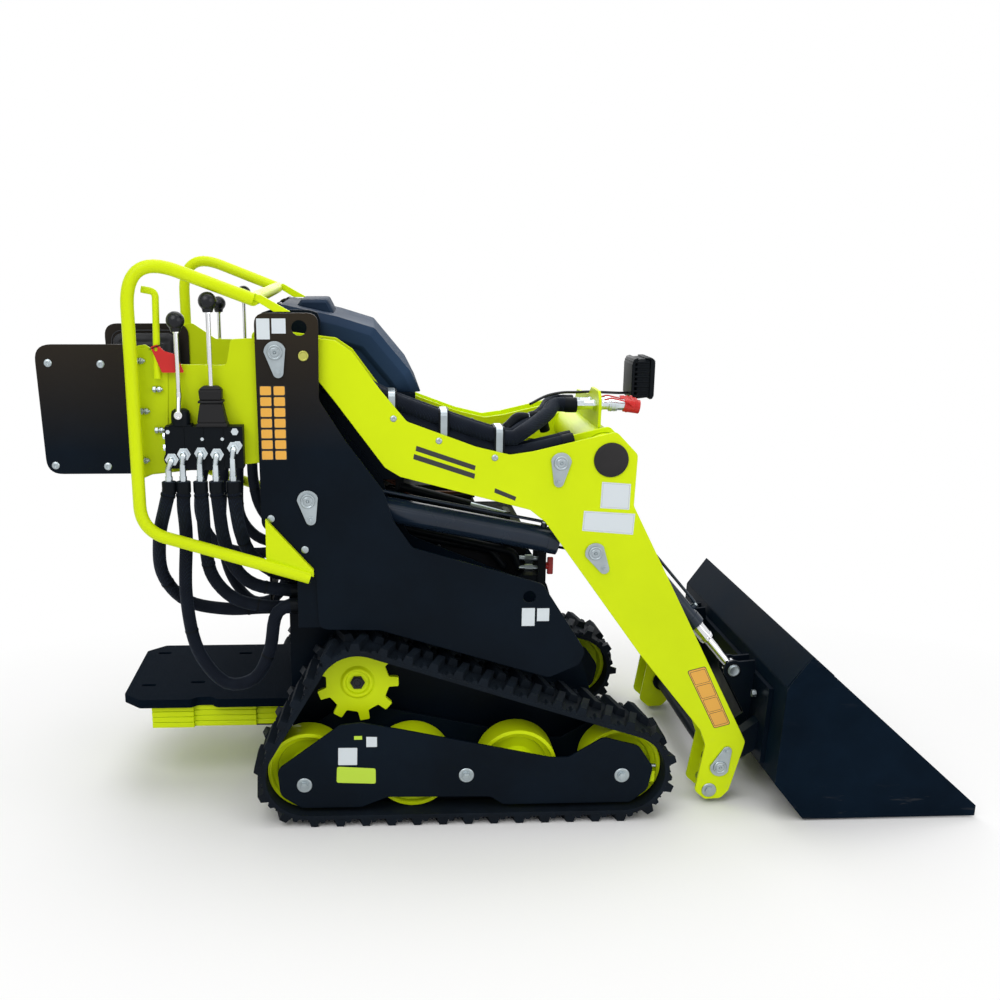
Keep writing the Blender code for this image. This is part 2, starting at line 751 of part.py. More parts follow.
def make_platform():
    rear, front, half = PLATFORM_REAR_X, PLATFORM_FRONT_X - GAP, PLATFORM_HALF_W
    clip = 0.050
    outline = [(rear, -half + clip), (rear + clip, -half), (front, -half), (front, half),
               (rear + clip, half), (rear, half - clip)]
    plate = slab(outline, PLATFORM_TOP_Z - PLATFORM_T, PLATFORM_TOP_Z)
    plate.matrix_world = Matrix.Rotation(math.radians(90), 4, "X")
    return baked(plate)


def make_weights():
    """Four steel plates in a stack, each with a wide rear and a narrower front."""
    top = PLATFORM_TOP_Z - PLATFORM_T - GAP
    height = WEIGHT_COUNT * WEIGHT_T - GAP
    z = (top - height, top)
    return joined(block((-1.030, -0.912), (-0.215, 0.215), z), block((-0.920, -0.738), (-0.205, 0.205), z),
                  block((-0.745, -0.625), (-0.195, 0.195), z))


def make_valve():
    """The two-spool valve block with its lever bracket, boot and port fittings."""
    y0 = TOWER_Y + GAP - GAP
    face = y0 + VALVE_DEPTH
    parts = [block(VALVE_X, (y0, face), VALVE_Z),
             block((-0.900, -0.850), (y0 + 0.006, face - 0.004), (VALVE_Z[1] - 0.002, 1.112)),
             block((-0.835, -0.757), (y0 + 0.001, face + 0.006), (VALVE_Z[1] - 0.002, 1.140)),
             block((-0.818, -0.772), (y0 + 0.004, face), (1.138, 1.160))]
    for x in PORT_X:
        parts.append(cross_rod((x, PORT_Z), face - 0.002, face + 0.008, 0.013, 6))
        parts.append(rod((x, face + 0.004, PORT_Z + 0.009), (x, face + 0.004, HOSE_TOP_Z), 0.008, 8))
    return joined(*parts, *make_levers())


def make_levers():
    """The two control levers: (x, foot z, ball z)."""
    y = TOWER_Y + 0.022
    pieces = []
    for x, foot, top in ((-0.876, 1.108, 1.325), (-0.797, 1.156, 1.371)):
        pieces += [rod((x, y, foot), (x, y, top), 0.006, 8), ball((x, y, top), 0.0225, 10)]
    return pieces


def make_hook_rod():
    y = -(TOWER_Y + 0.009)
    return pipe(bent_path([(-0.928, y, 1.185), (-0.922, y, 1.392), (-0.955, y, 1.398)], 0.016, 5), 0.0085, 2)


def hose_points(knots):
    """A hose's route: straight stubs at both ends and a smooth curve between them."""
    return [Vector(knots[0])] + smooth_route(knots[1:-1], 0.075) + [Vector(knots[-1])]


def hose_routes():
    """Left-side hoses from the valve's elbows to the manifold, hand-placed knots (x, y, z)."""
    top_y = TOWER_Y + VALVE_DEPTH + 0.004
    z = HOSE_TOP_Z - GAP
    end = MANIFOLD_X[0] - GAP
    x1, x2, x3, x4, x5 = PORT_X
    return [
        [(x1, top_y, z), (x1, top_y, z - 0.02), (x1 - 0.014, 0.434, 0.870), (x1 - 0.040, 0.395, 0.780),
         (-0.952, 0.350, 0.670), (-0.900, 0.310, 0.585), (-0.800, 0.294, 0.556),
         (-0.700, 0.294, 0.558), (end - 0.02, 0.294, 0.558), (end, 0.294, 0.558)],
        [(x2, top_y, z), (x2, top_y, z - 0.02), (x2 - 0.004, 0.434, 0.870), (x2 - 0.008, 0.392, 0.780),
         (-0.890, 0.376, 0.620), (-0.868, 0.372, 0.470), (-0.800, 0.370, 0.375),
         (-0.722, 0.370, 0.385), (-0.680, 0.371, 0.460), (-0.665, 0.372, 0.545),
         (-0.650, 0.372, 0.575), (end - 0.02, 0.372, 0.590), (end, 0.372, 0.590)],
        [(x3, top_y, z), (x3, top_y, z - 0.02), (x3 + 0.001, 0.434, 0.870), (x3 - 0.002, 0.396, 0.780),
         (-0.826, 0.350, 0.670), (-0.775, 0.335, 0.600), (-0.700, 0.334, 0.576),
         (end - 0.02, 0.334, 0.572), (end, 0.334, 0.572)],
        [(x4, top_y, z), (x4, top_y, z - 0.02), (x4 + 0.002, 0.434, 0.870), (x4 + 0.006, 0.396, 0.780),
         (-0.765, 0.366, 0.695), (-0.715, 0.345, 0.638), (end - 0.02, 0.334, 0.617),
         (end, 0.334, 0.617)],
        [(x5, top_y, z), (x5, top_y, z - 0.02), (x5 + 0.002, 0.434, 0.870), (x5 + 0.008, 0.394, 0.790),
         (-0.722, 0.345, 0.720), (-0.675, 0.305, 0.665), (end - 0.02, 0.294, 0.645),
         (end, 0.294, 0.645)],
    ]


# Lift arms

def arm_outline():
    """The arm's plate: (x, z) corners from the pivot over the top to the tip and back."""
    corners = [(-0.700, 1.300), (-0.493, 1.274), (-0.452, 1.246), (-0.383, 1.152), (-0.316, 1.072),
               (-0.140, 1.007), (-0.053, 0.986), (0.005, 0.994), (0.219, 1.044), (0.276, 0.985),
               (0.272, 0.851), (0.601, 0.211), (0.614, 0.184), (0.605, 0.146), (0.578, 0.040),
               (0.556, 0.016), (0.512, 0.014), (0.482, 0.040), (0.503, 0.177), (0.486, 0.222),
               (0.309, 0.442), (0.042, 0.810), (0.002, 0.842), (-0.333, 0.931), (-0.372, 0.955),
               (-0.500, 1.128), (-0.545, 1.185), (-0.690, 1.196)]
    return rounded(corners, 0.018, 2)


def arm_web_run():
    """The upper face of the sheet that closes the arm's bay, from rear to front."""
    return [(-0.470, 1.225), (-0.398, 1.130), (-0.320, 1.042), (-0.145, 0.979), (-0.053, 0.958),
            (0.010, 0.967), (0.120, 0.992)]


def make_arm():
    outline = arm_outline()
    overlap = 0.002
    bay = (ARM_INNER_Y + ARM_T - overlap, ARM_OUTER_Y - ARM_T + overlap)
    parts = [slab(outline, ARM_OUTER_Y - ARM_T, ARM_OUTER_Y),
             slab(outline, ARM_INNER_Y, ARM_INNER_Y + ARM_T),
             slab(arm_web_run() + [(x, z - SHEET) for x, z in reversed(arm_web_run())], *bay),
             cross_rod(PIVOT, *bay, PIVOT_BOSS_R, 14),
             cross_rod(STOP_BOLT, bay[0], ARM_OUTER_Y + 0.004, 0.013, 12)]
    arm = joined(*parts)
    past = 0.02
    y0, y1 = ARM_INNER_Y - past, ARM_OUTER_Y + past
    holes = [cross_rod(PIVOT, y0, y1, turning_hole(PIN_R), 12),
             cross_rod(CROSS_TUBE, y0, y1, CROSS_TUBE_R + 0.0015, 16)]
    return joined(drilled(arm, *holes), *make_arm_pins())


def height_at(line, x):
    """The height of a side-view line at x."""
    for (x0, z0), (x1, z1) in zip(line, line[1:]):
        if x0 <= x <= x1:
            return z0 + (z1 - z0) * (x - x0) / (x1 - x0)
    return line[-1][1]


def make_cross_tube():
    """The tube across the arms, with the lugs behind it for the tilt cylinders' bases."""
    y_out = ARM_OUTER_Y + GAP
    parts = [cross_rod(CROSS_TUBE, -y_out - 0.001, y_out + 0.001, CROSS_TUBE_R, 16),
             cross_rod(CROSS_TUBE, y_out, y_out + 0.007, CROSS_TUBE_R + 0.003, 16),
             cross_rod(CROSS_TUBE, -y_out - 0.007, -y_out, CROSS_TUBE_R + 0.003, 16)]
    for side in (-1, 1):
        near = TILT_Y - TILT_BARREL_R - 0.010
        y0, y1 = sorted((side * near, side * (near - PLATE)))
        lug = slab(arc(TILT_BASE, 0.032, 100, 260, 7) + [(0.200, 0.925), (0.200, 1.015)], y0, y1)
        parts.append(drilled(lug, cross_rod(TILT_BASE, y0 - 0.01, y1 + 0.01, PIN_R + GAP, 12)))
    return joined(*parts)


def flag(centre, angle, y0, y1, reach=0.050):
    """A pin's retaining flag: a drop shape with its small end in the given direction."""
    small = (centre[0] + reach * math.cos(math.radians(angle)),
             centre[1] + reach * math.sin(math.radians(angle)))
    outline = arc(centre, 0.027, angle + 100, angle + 260, 6) + arc(small, 0.013, angle - 80, angle + 80, 3)
    return slab(outline, y0, y1)


def make_tower_pins():
    """The tower's pins with their flags: the arm's pivot and the lift cylinder's base."""
    y_out = TOWER_Y + TOWER_T
    pieces = []
    for centre in (PIVOT, LIFT_BASE):
        shank = cross_rod(centre, SIDE_Y - 0.004, y_out + 0.014, PIN_R, 12)
        pieces += [shank, flag(centre, -82, y_out - 0.001, y_out + PLATE)]
    return pieces


def make_arm_pins():
    """The arm's pins with their flags. The lift eye's pin is two stubs, one in each plate."""
    y_out = ARM_OUTER_Y
    root, top = y_out - 0.001, y_out + 0.006
    tilt_in = TILT_Y - TILT_BARREL_R - 0.010 - PLATE - 0.003
    return [cross_rod(TILT_BASE, tilt_in, y_out + 0.010, PIN_R, 12),
            cross_rod(LIFT_EYE, y_out - ARM_T + 0.001, y_out + 0.010, PIN_R, 12),
            cross_rod(LIFT_EYE, ARM_INNER_Y - 0.004, ARM_INNER_Y + ARM_T - 0.001, PIN_R, 12),
            cross_rod(HITCH_PIN, ARM_INNER_Y - 0.004, y_out + 0.010, PIN_R, 12),
            flag(TILT_BASE, -95, root, top), flag(LIFT_EYE, -60, root, top), flag(HITCH_PIN, 70, root, top)]


def arm_hose_line(row):
    """The side view of a row of arm hoses over the web; row 0 lies on it and row 1 on row 0."""
    run = [(-0.545, 1.268)] + arm_web_run()
    return offset_inside(run, ARM_HOSE_R + 0.008 + row * 2 * ARM_HOSE_R)


def coupler_ends():
    """Where the quick couplers take their hoses."""
    return [(COUPLER_REAR_X - GAP, y, COUPLER_Z) for y in COUPLER_Y]


def make_arm_hoses():
    """Four sleeved hoses on the right arm's web, two of them on to the couplers, and their straps."""
    parts = []
    for row in (0, 1):
        line = arm_hose_line(row)
        for shift, end in zip((-1, 1), coupler_ends()):
            y = -ARM_MID_Y + shift * (ARM_HOSE_R + 0.0008)
            route = [(x, y, z) for x, z in line]
            stub = []
            if row:
                x, y1, z = end
                bend = Vector((x - 0.060, y1, z))
                route = route[1:6] + [(-0.020, y + 0.012, 1.036), tuple(bend.lerp(Vector(route[6]), 0.35)),
                                      tuple(bend), (x - 0.020, y1, z)]
                stub = [Vector(end)]
            parts.append(pipe(smooth_route(route, 0.070) + stub, ARM_HOSE_R, 2))
    y0, y1 = -ARM_OUTER_Y + ARM_T + GAP, -ARM_INNER_Y - ARM_T - GAP
    for x in STRAP_X:
        low, high = height_at(arm_web_run(), x), height_at(arm_hose_line(1), x) + ARM_HOSE_R
        span = (x - STRAP_W / 2, x + STRAP_W / 2)
        parts.append(block(span, (y0, y1), (high - 0.001, high + STRAP_T)))
        for y in (y0, y1 - STRAP_T):
            parts.append(block(span, (y, y + STRAP_T), (low + 0.012, high + 0.001)))
    return joined(*parts)


def make_couplers():
    """The plate on the cross tube with two quick couplers through it."""
    foot = CROSS_TUBE[1] + CROSS_TUBE_R + GAP
    parts = [block((0.203, 0.211), (-0.215, 0.150), (foot, 1.125))]
    for y in COUPLER_Y:
        parts.append(rod((COUPLER_REAR_X, y, COUPLER_Z), (0.285, y, COUPLER_Z), 0.015, 10))
        parts.append(rod((0.283, y, COUPLER_Z), (0.318, y, COUPLER_Z - 0.007), 0.019, 10))
    return joined(*parts)


def make_lamp():
    """The work lamp on its foot, ahead of the coupler plate."""
    y0, y1 = -0.055, 0.055
    body = block((0.325, 0.392), (y0, y1), (1.078, 1.200))
    foot = block((0.2113, 0.350), (-0.018, 0.018), (1.052, 1.060))
    post = block((0.335, 0.352), (-0.018, 0.018), (1.055, 1.082))
    return joined(body, foot, post)


# Bucket and hitch

def back_x(z):
    """Where the bucket's back lies at a height."""
    (x0, z0), (x1, z1) = BUCKET_BACK_LOW, BUCKET_BACK_BEND
    return x0 + (x1 - x0) * (z - z0) / (z1 - z0)


def bucket_corners():
    return [BUCKET_LIP, BUCKET_BACK_BEND, BUCKET_BACK_LOW, (BUCKET_HEEL_X, BUCKET_BOTTOM_Z),
            (BUCKET_EDGE_X, BUCKET_BOTTOM_Z)]


def offset_inside(points, distance):
    """A polyline shifted to its left by a distance, with mitred corners."""
    shifted = []
    for i, here in enumerate(points):
        here = Vector(here)
        normals = []
        for a, b in ((i - 1, i), (i, i + 1)):
            if 0 <= a and b < len(points):
                run = (Vector(points[b]) - Vector(points[a])).normalized()
                normals.append(Vector((-run.y, run.x)))
        mean = sum(normals, Vector((0, 0))).normalized()
        shifted.append(tuple(here + mean * distance / mean.dot(normals[0])))
    return shifted


def make_bucket():
    run = bucket_corners()
    sheet = run[:-1] + [(BUCKET_EDGE_X - 0.030, BUCKET_BOTTOM_Z)]
    skin = offset_inside(sheet, 0.0006) + list(reversed(offset_inside(sheet, SHEET)))
    shell = slab(skin, -BUCKET_HALF_W + 0.001, BUCKET_HALF_W - 0.001)
    side = run + [(BUCKET_EDGE_X, BUCKET_BOTTOM_Z + 0.030)]
    parts = [shell]
    for end in (-1, 1):
        y0, y1 = sorted((end * BUCKET_HALF_W, end * (BUCKET_HALF_W - SHEET)))
        parts.append(slab(side, y0, y1))
    edge = [(BUCKET_EDGE_X - EDGE_DEPTH, BUCKET_BOTTOM_Z + 0.001),
            (BUCKET_EDGE_X - 0.0005, BUCKET_BOTTOM_Z + 0.001), (BUCKET_EDGE_X - 0.0005, BUCKET_BOTTOM_Z + 0.008),
            (BUCKET_EDGE_X - 0.020, BUCKET_BOTTOM_Z + EDGE_T), (BUCKET_EDGE_X - EDGE_DEPTH,
                                                                BUCKET_BOTTOM_Z + EDGE_T)]
    parts.append(slab(edge, -BUCKET_HALF_W + 0.002, BUCKET_HALF_W - 0.002))
    return joined(*parts)


def make_hitch():
    z0, z1 = HITCH_BOTTOM_Z, HITCH_TOP_Z
    face = [(back_x(z0) - GAP, z0), (back_x(z1) - GAP, z1)]
    plate = slab(face + [(x - HITCH_T, z) for x, z in reversed(face)], -HITCH_HALF_W, HITCH_HALF_W)
    tube_half = TILT_Y + EAR_GAP / 2
    parts = [plate, cross_rod(HITCH_PIN, -tube_half, tube_half, HITCH_TUBE_R, 14)]
    rear = back_x(z0) - GAP - HITCH_T + 0.003
    bracket = arc(HITCH_PIN, 0.030, 105, 285, 8) + [(rear, z0 + 0.022), (rear + 0.004, 0.235)]
    for side in (-1, 1):
        y0, y1 = sorted((side * (ARM_MID_Y - 0.020), side * (ARM_MID_Y + 0.020)))
        lug = slab(arc(HITCH_PIN, 0.032, 105, 285, 8) + [(rear, z0 + 0.022), (rear + 0.004, 0.235)], y0, y1)
        parts.append(drilled(lug, cross_rod(HITCH_PIN, y0 - 0.01, y1 + 0.01, turning_hole(PIN_R), 12)))
        y0, y1 = sorted((side * tube_half, side * (tube_half - EAR_T)))
        parts.append(slab(bracket, y0, y1))
        for offset in (-EAR_GAP / 2 - EAR_T, EAR_GAP / 2):
            y0, y1 = sorted((side * (TILT_Y + offset), side * (TILT_Y + offset + EAR_T)))
            ear = slab(arc(TILT_EYE, 0.028, 60, 225, 8) + [(rear + 0.004, 0.190), (rear + 0.010, 0.340),
                                                          (rear + 0.006, 0.380)], y0, y1)
            parts.append(ear)
    return joined(*parts)


# Cylinders

def along(start, end, distance):
    """A point of the side view at a distance from start towards end."""
    run = (Vector(end) - Vector(start)).normalized()
    return Vector(start) + run * distance


def reach_of(base, eye):
    """The distance between a cylinder's two pins at rest."""
    return (Vector(eye) - Vector(base)).length


def cylinder_barrel(base, eye, y, radius, rod_radius, length, eye_r, eye_w, gland=None):
    """A hydraulic barrel with its base eye; the bore takes the rod."""
    def place(distance):
        x, z = along(base, eye, distance)
        return (x, y, z)
    parts = [rod(place(eye_r * 0.6), place(length), radius, 20),
             cross_rod(base, y - eye_w / 2, y + eye_w / 2, eye_r, 20)]
    end = length
    if gland:
        end = length + gland[1]
        parts.append(rod(place(length - 0.004), place(end), gland[0], 20))
    barrel = joined(*parts)
    return drilled(barrel, rod(place(BARREL_HEAD), place(end + 0.01), rod_radius + RUN, 16),
                   cross_rod(base, y - eye_w, y + eye_w, turning_hole(PIN_R), 12))


def cylinder_rod(base, eye, y, rod_radius, room, eye_r, eye_w):
    """A piston rod with its eye. Room is the bore that is left behind the rod at rest."""
    x0, z0 = along(base, eye, BARREL_HEAD + room)
    x1, z1 = along(base, eye, reach_of(base, eye) - eye_r * 0.5)
    shaft = rod((x0, y, z0), (x1, y, z1), rod_radius, 16)
    hole = turning_hole(PIN_R)
    eye_r = max(eye_r, hole + 0.004)
    solid = joined(shaft, cross_rod(eye, y - eye_w / 2, y + eye_w / 2, eye_r, 20))
    return drilled(solid, cross_rod(eye, y - eye_w, y + eye_w, hole, 12))


def lift_barrel():
    length = reach_of(LIFT_BASE, LIFT_EYE) - LIFT_CLOSED_GAP
    return cylinder_barrel(LIFT_BASE, LIFT_EYE, ARM_MID_Y, LIFT_BARREL_R, LIFT_ROD_R, length, 0.034, 0.060)


def lift_rod():
    return cylinder_rod(LIFT_BASE, LIFT_EYE, ARM_MID_Y, LIFT_ROD_R, LIFT_ROD_ROOM, LIFT_EYE_R, 0.050)


def tilt_barrel():
    length = reach_of(TILT_BASE, TILT_EYE) - TILT_CLOSED_GAP
    return cylinder_barrel(TILT_BASE, TILT_EYE, TILT_Y, TILT_BARREL_R, TILT_ROD_R, length, 0.030, 0.040,
                           (TILT_GLAND_R, TILT_GLAND_LENGTH))


def tilt_rod():
    return cylinder_rod(TILT_BASE, TILT_EYE, TILT_Y, TILT_ROD_R, TILT_ROD_ROOM, TILT_EYE_R, 0.028)


# Assembly

def finish_pair(make, name, mat, parent=None):
    """A piece of the left side and its mirror image, each a node of its own."""
    left = make()
    finish(mirrored(left), f"{name}_right", mat, parent)
    finish(left, f"{name}_left", mat, parent)


def build_undercarriage(mats):
    finish_pair(make_track, "track", mats["rubber"])
    finish_pair(make_track_frame, "track_frame", mats["black"])
    finish_pair(make_sprocket, "sprocket", mats["lime"])


def build_chassis(mats):
    finish(make_chassis(), "chassis_frame", mats["black"])
    finish_pair(make_tower, "tower", mats["black"])
    finish(make_engine(), "engine_block", mats["black"])
    finish(make_cowl(), "engine_cowl", mats["black"])
    finish(make_rear_panel(), "rear_panel", mats["black"])


def build_station(mats):
    finish(make_guard(), "guard_frame", mats["lime"])
    finish_pair(make_side_panel, "side_panel", mats["lime"])
    finish_pair(make_hip_plate, "hip_plate", mats["black"])
    finish_pair(make_hip_pad, "hip_pad", mats["vinyl"])
    finish(make_platform(), "platform", mats["black"])
    finish(make_weights(), "counterweights", mats["lime"])
    finish_pair(make_valve, "valve", mats["black"])
    finish(make_hook_rod(), "hook_rod", mats["lime"])
    for i, knots in enumerate(hose_routes(), 1):
        hose = pipe(hose_points(knots), HOSE_R, 2)
        finish(mirrored(hose), f"hose_right_{i}", mats["rubber"])
        finish(hose, f"hose_left_{i}", mats["rubber"])


def build_arms(mats, lift):
    finish_pair(make_arm, "arm", mats["lime"], lift)
    finish(make_cross_tube(), "arm_cross_tube", mats["lime"], lift)
    finish(make_arm_hoses(), "arm_hoses", mats["rubber"], lift)
    finish(make_couplers(), "couplers", mats["zinc"], lift)
    finish(make_lamp(), "work_lamp", mats["black"], lift)


def build_cylinders(mats, lift):
    lift_swing = pivot("lift_cylinder_pivot", (LIFT_BASE[0], 0, LIFT_BASE[1]))
    lift_slide = pivot("lift_rod_slide", (LIFT_BASE[0], 0, LIFT_BASE[1]), lift_swing)
    tilt_swing = pivot("tilt_cylinder_pivot", (TILT_BASE[0], 0, TILT_BASE[1]), lift)
    tilt_slide = pivot("tilt_rod_slide", (TILT_BASE[0], 0, TILT_BASE[1]), tilt_swing)
    finish_pair(lift_barrel, "lift_barrel", mats["black"], lift_swing)
    finish_pair(lift_rod, "lift_rod", mats["chrome"], lift_slide)
    finish_pair(tilt_barrel, "tilt_barrel", mats["black"], tilt_swing)
    finish_pair(tilt_rod, "tilt_rod", mats["chrome"], tilt_slide)


def make_materials():
    return {
        "lime": material("lime_paint", (0.68, 0.87, 0.0), 0.35, 0.0),
        "black": material("black_paint", (0.010, 0.013, 0.018), 0.45, 0.0),
        "rubber": material("black_rubber", (0.014, 0.015, 0.018), 0.75, 0.0),
        "vinyl": material("black_vinyl", (0.015, 0.016, 0.020), 0.40, 0.0),
        "zinc": material("zinc_plate", (0.60, 0.62, 0.62), 0.35, 0.9),
        "chrome": material("chrome_rod", (0.75, 0.76, 0.78), 0.12, 1.0),
    }


def main():
    clear_scene()
    make_collection(COLLECTION)
    mats = make_materials()
    lift = pivot("arm_pivot", (PIVOT[0], 0, PIVOT[1]))
    bucket = pivot("bucket_pivot", (HITCH_PIN[0], 0, HITCH_PIN[1]), lift)
    hood = pivot("hood_hinge", (HOOD_REAR_X + 0.004, 0, HOOD_TOP_Z - 0.004))
    build_undercarriage(mats)
    build_chassis(mats)
    build_station(mats)
    finish(make_hood(), "hood", mats["black"], hood)
    build_arms(mats, lift)
    finish(make_bucket(), "bucket", mats["black"], bucket)
    finish(make_hitch(), "hitch", mats["black"], bucket)
    build_cylinders(mats, lift)


main()
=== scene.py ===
"""Looks of the mini skid steer loader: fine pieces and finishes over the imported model.

Metres, +X forward to the bucket, +Y left, +Z up. Side views are (x, z) points. A piece that comes
in pairs is written for the left side, where y is positive, and the right side mirrors it.
"""
import math

import bmesh
import bpy
from mathutils import Matrix, Vector


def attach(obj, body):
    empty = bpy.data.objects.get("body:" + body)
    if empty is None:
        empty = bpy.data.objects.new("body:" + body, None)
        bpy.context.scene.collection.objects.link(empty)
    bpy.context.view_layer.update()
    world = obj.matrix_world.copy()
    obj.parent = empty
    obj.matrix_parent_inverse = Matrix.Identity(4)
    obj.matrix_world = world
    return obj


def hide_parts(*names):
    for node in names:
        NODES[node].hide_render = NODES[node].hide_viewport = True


bl_info = {
    "name": "Mini skid steer loader",
    "version": (1, 0, 0),
    "blender": (4, 5, 0),
    "location": "3D View > Sidebar > Loader",
    "description": "Dresses the packed loader with its fine pieces, finishes and studio",
    "category": "Object",
}

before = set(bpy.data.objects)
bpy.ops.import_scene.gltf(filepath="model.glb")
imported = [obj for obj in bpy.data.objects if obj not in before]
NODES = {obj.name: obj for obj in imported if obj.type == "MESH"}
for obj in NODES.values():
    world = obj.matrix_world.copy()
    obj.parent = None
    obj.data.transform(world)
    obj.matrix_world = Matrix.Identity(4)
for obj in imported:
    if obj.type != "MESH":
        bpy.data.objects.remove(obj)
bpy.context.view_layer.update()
SIDES = ((1, "left"), (-1, "right"))

# Places that several pieces share, (x, z)
PIVOT = (-0.640, 1.248)
LIFT_BASE = (-0.568, 0.876)
CROSS_TUBE = (0.207, 0.972)
TILT_BASE = (0.078, 0.965)
LIFT_EYE = (0.176, 0.726)
HITCH_PIN = (0.547, 0.112)
TILT_EYE = (0.604, 0.352)
STOP_BOLT = (0.522, 0.042)
WHEEL_Z = 0.142
SPROCKET = (-0.448, 0.380)
WHEEL_X = (-0.583, -0.3013, -0.0197, 0.262)

# How far out the cylinders stand and their barrels' radius, the belt's thickness, the lugs in a row,
# and the axes of the two couplers
LIFT_Y, LIFT_RADIUS = 0.335, 0.034
TILT_Y, TILT_RADIUS = 0.245, 0.026
BELT = 0.014
LUGS = 37
COUPLER_Y, COUPLER_Z = (-0.175, -0.115), 1.085


# Settings

class LoaderColours(bpy.types.PropertyGroup):
    """Colours of the loader's finishes."""
    paint: bpy.props.FloatVectorProperty(
        name="Paint", description="Bright paint of the arms and guards", subtype="COLOR",
        size=3, min=0, max=1, default=(0.655, 0.815, 0.003))
    black: bpy.props.FloatVectorProperty(
        name="Black coat", description="Satin coat of the towers and plates", subtype="COLOR",
        size=3, min=0, max=1, default=(0.0028, 0.0042, 0.0060))
    rubber: bpy.props.FloatVectorProperty(
        name="Rubber", description="Tracks", subtype="COLOR",
        size=3, min=0, max=1, default=(0.0030, 0.0052, 0.0085))
    warning: bpy.props.FloatVectorProperty(
        name="Orange sticker", description="Ground of the blank orange stickers", subtype="COLOR",
        size=3, min=0, max=1, default=(0.80, 0.40, 0.045))


class LoaderSizes(bpy.types.PropertyGroup):
    """Sizes of the loader's fine pieces."""
    edge: bpy.props.FloatProperty(
        name="Plate edge", description="Rounding of cut plate edges", unit="LENGTH",
        min=0, max=0.004, default=0.0012)
    bolt: bpy.props.FloatProperty(
        name="Retaining bolt", description="Width of the bolt in a pin's retaining plate", unit="LENGTH",
        min=0.005, max=0.03, default=0.0115)
    hose: bpy.props.FloatProperty(
        name="Hose", description="Outer diameter of a sleeved hose", unit="LENGTH",
        min=0.02, max=0.05, default=0.034)


def colour(name):
    return tuple(getattr(bpy.context.scene.loader_colours, name))


def size(name):
    return getattr(bpy.context.scene.loader_sizes, name)


# Shader expressions

class Value:
    """A shader socket used in an expression. Arithmetic on it adds Math nodes."""

    def __init__(self, net, socket):
        self.net, self.socket = net, socket

    def __add__(self, other):
        return self.net.math("ADD", self, other)

    def __radd__(self, other):
        return self.net.math("ADD", other, self)

    def __sub__(self, other):
        return self.net.math("SUBTRACT", self, other)

    def __rsub__(self, other):
        return self.net.math("SUBTRACT", other, self)

    def __mul__(self, other):
        return self.net.math("MULTIPLY", self, other)

    def __rmul__(self, other):
        return self.net.math("MULTIPLY", other, self)


class Nodes:
    """The nodes of one material or world."""

    def __init__(self, owner):
        owner.use_nodes = True
        self.tree = owner.node_tree

    def node(self, kind, settings=None, inputs=None):
        """A new node: its settings come first, then the values or links of its sockets."""
        made = self.tree.nodes.new("ShaderNode" + kind)
        for key, value in (settings or {}).items():
            setattr(made, key, value)
        for key, value in (inputs or {}).items():
            self.feed(made.inputs[key], value)
        return made

    def feed(self, socket, value):
        if isinstance(value, Value):
            self.tree.links.new(value.socket, socket)
        else:
            socket.default_value = value

    def math(self, operation, a, b):
        made = self.node("Math", {"operation": operation}, {0: a, 1: b})
        return Value(self, made.outputs[0])

    def place(self, scale=(1, 1, 1), turn=(0, 0, 0)):
        """Object coordinates, scaled and turned."""
        coord = self.node("TexCoord")
        made = self.node("Mapping", None, {"Vector": Value(self, coord.outputs["Object"]),
                                           "Scale": scale, "Rotation": turn})
        return Value(self, made.outputs[0])

    def noise(self, scale, detail=3.0, roughness=0.55, at=None):
        made = self.node("TexNoise", None, {"Vector": at or self.place(), "Scale": scale,
                                            "Detail": detail, "Roughness": roughness})
        return Value(self, made.outputs["Fac"])

    def wave(self, scale, at, bands):
        made = self.node("TexWave", {"bands_direction": bands}, {"Vector": at, "Scale": scale})
        return Value(self, made.outputs["Fac"])

    def cells(self, scale, feature="F1"):
        made = self.node("TexVoronoi", {"feature": feature}, {"Vector": self.place(), "Scale": scale})
        return Value(self, made.outputs["Distance"])

    def span(self, value, low, high, to_low=0.0, to_high=1.0):
        """A value's range mapped to another, clamped."""
        made = self.node("MapRange", {"clamp": True}, {
            "Value": value, "From Min": low, "From Max": high, "To Min": to_low, "To Max": to_high})
        return Value(self, made.outputs[0])

    def mix(self, factor, a, b):
        """A colour between two colours."""
        made = self.node("Mix", {"data_type": "RGBA"}, {"Factor": factor})
        for socket, value in ((made.inputs[6], a), (made.inputs[7], b)):
            self.feed(socket, value if isinstance(value, Value) else (*value, 1))
        return Value(self, made.outputs[2])

    def along(self, axis):
        """The x, y or z coordinate of the place on the machine."""
        split = self.node("SeparateXYZ", None, {0: self.place()})
        return Value(self, split.outputs[axis])

    def seen(self):
        """1 for rays that come to the eye straight, by a reflection or through glass."""
        path = self.node("LightPath")
        eye, glossy, through = [Value(self, path.outputs[f"Is {kind} Ray"])
                                for kind in ("Camera", "Glossy", "Transmission")]
        return self.math("MAXIMUM", self.math("MAXIMUM", eye, glossy), through)

    def edges(self, radius):
        """1 on rounded and cut edges, 0 on flat faces."""
        bevel = self.node("Bevel", {"samples": 4}, {"Radius": radius})
        geo = self.node("NewGeometry")
        dot = self.node("VectorMath", {"operation": "DOT_PRODUCT"},
                        {0: Value(self, bevel.outputs[0]), 1: Value(self, geo.outputs["Normal"])})
        return self.span(Value(self, dot.outputs["Value"]), 0.995, 0.93)


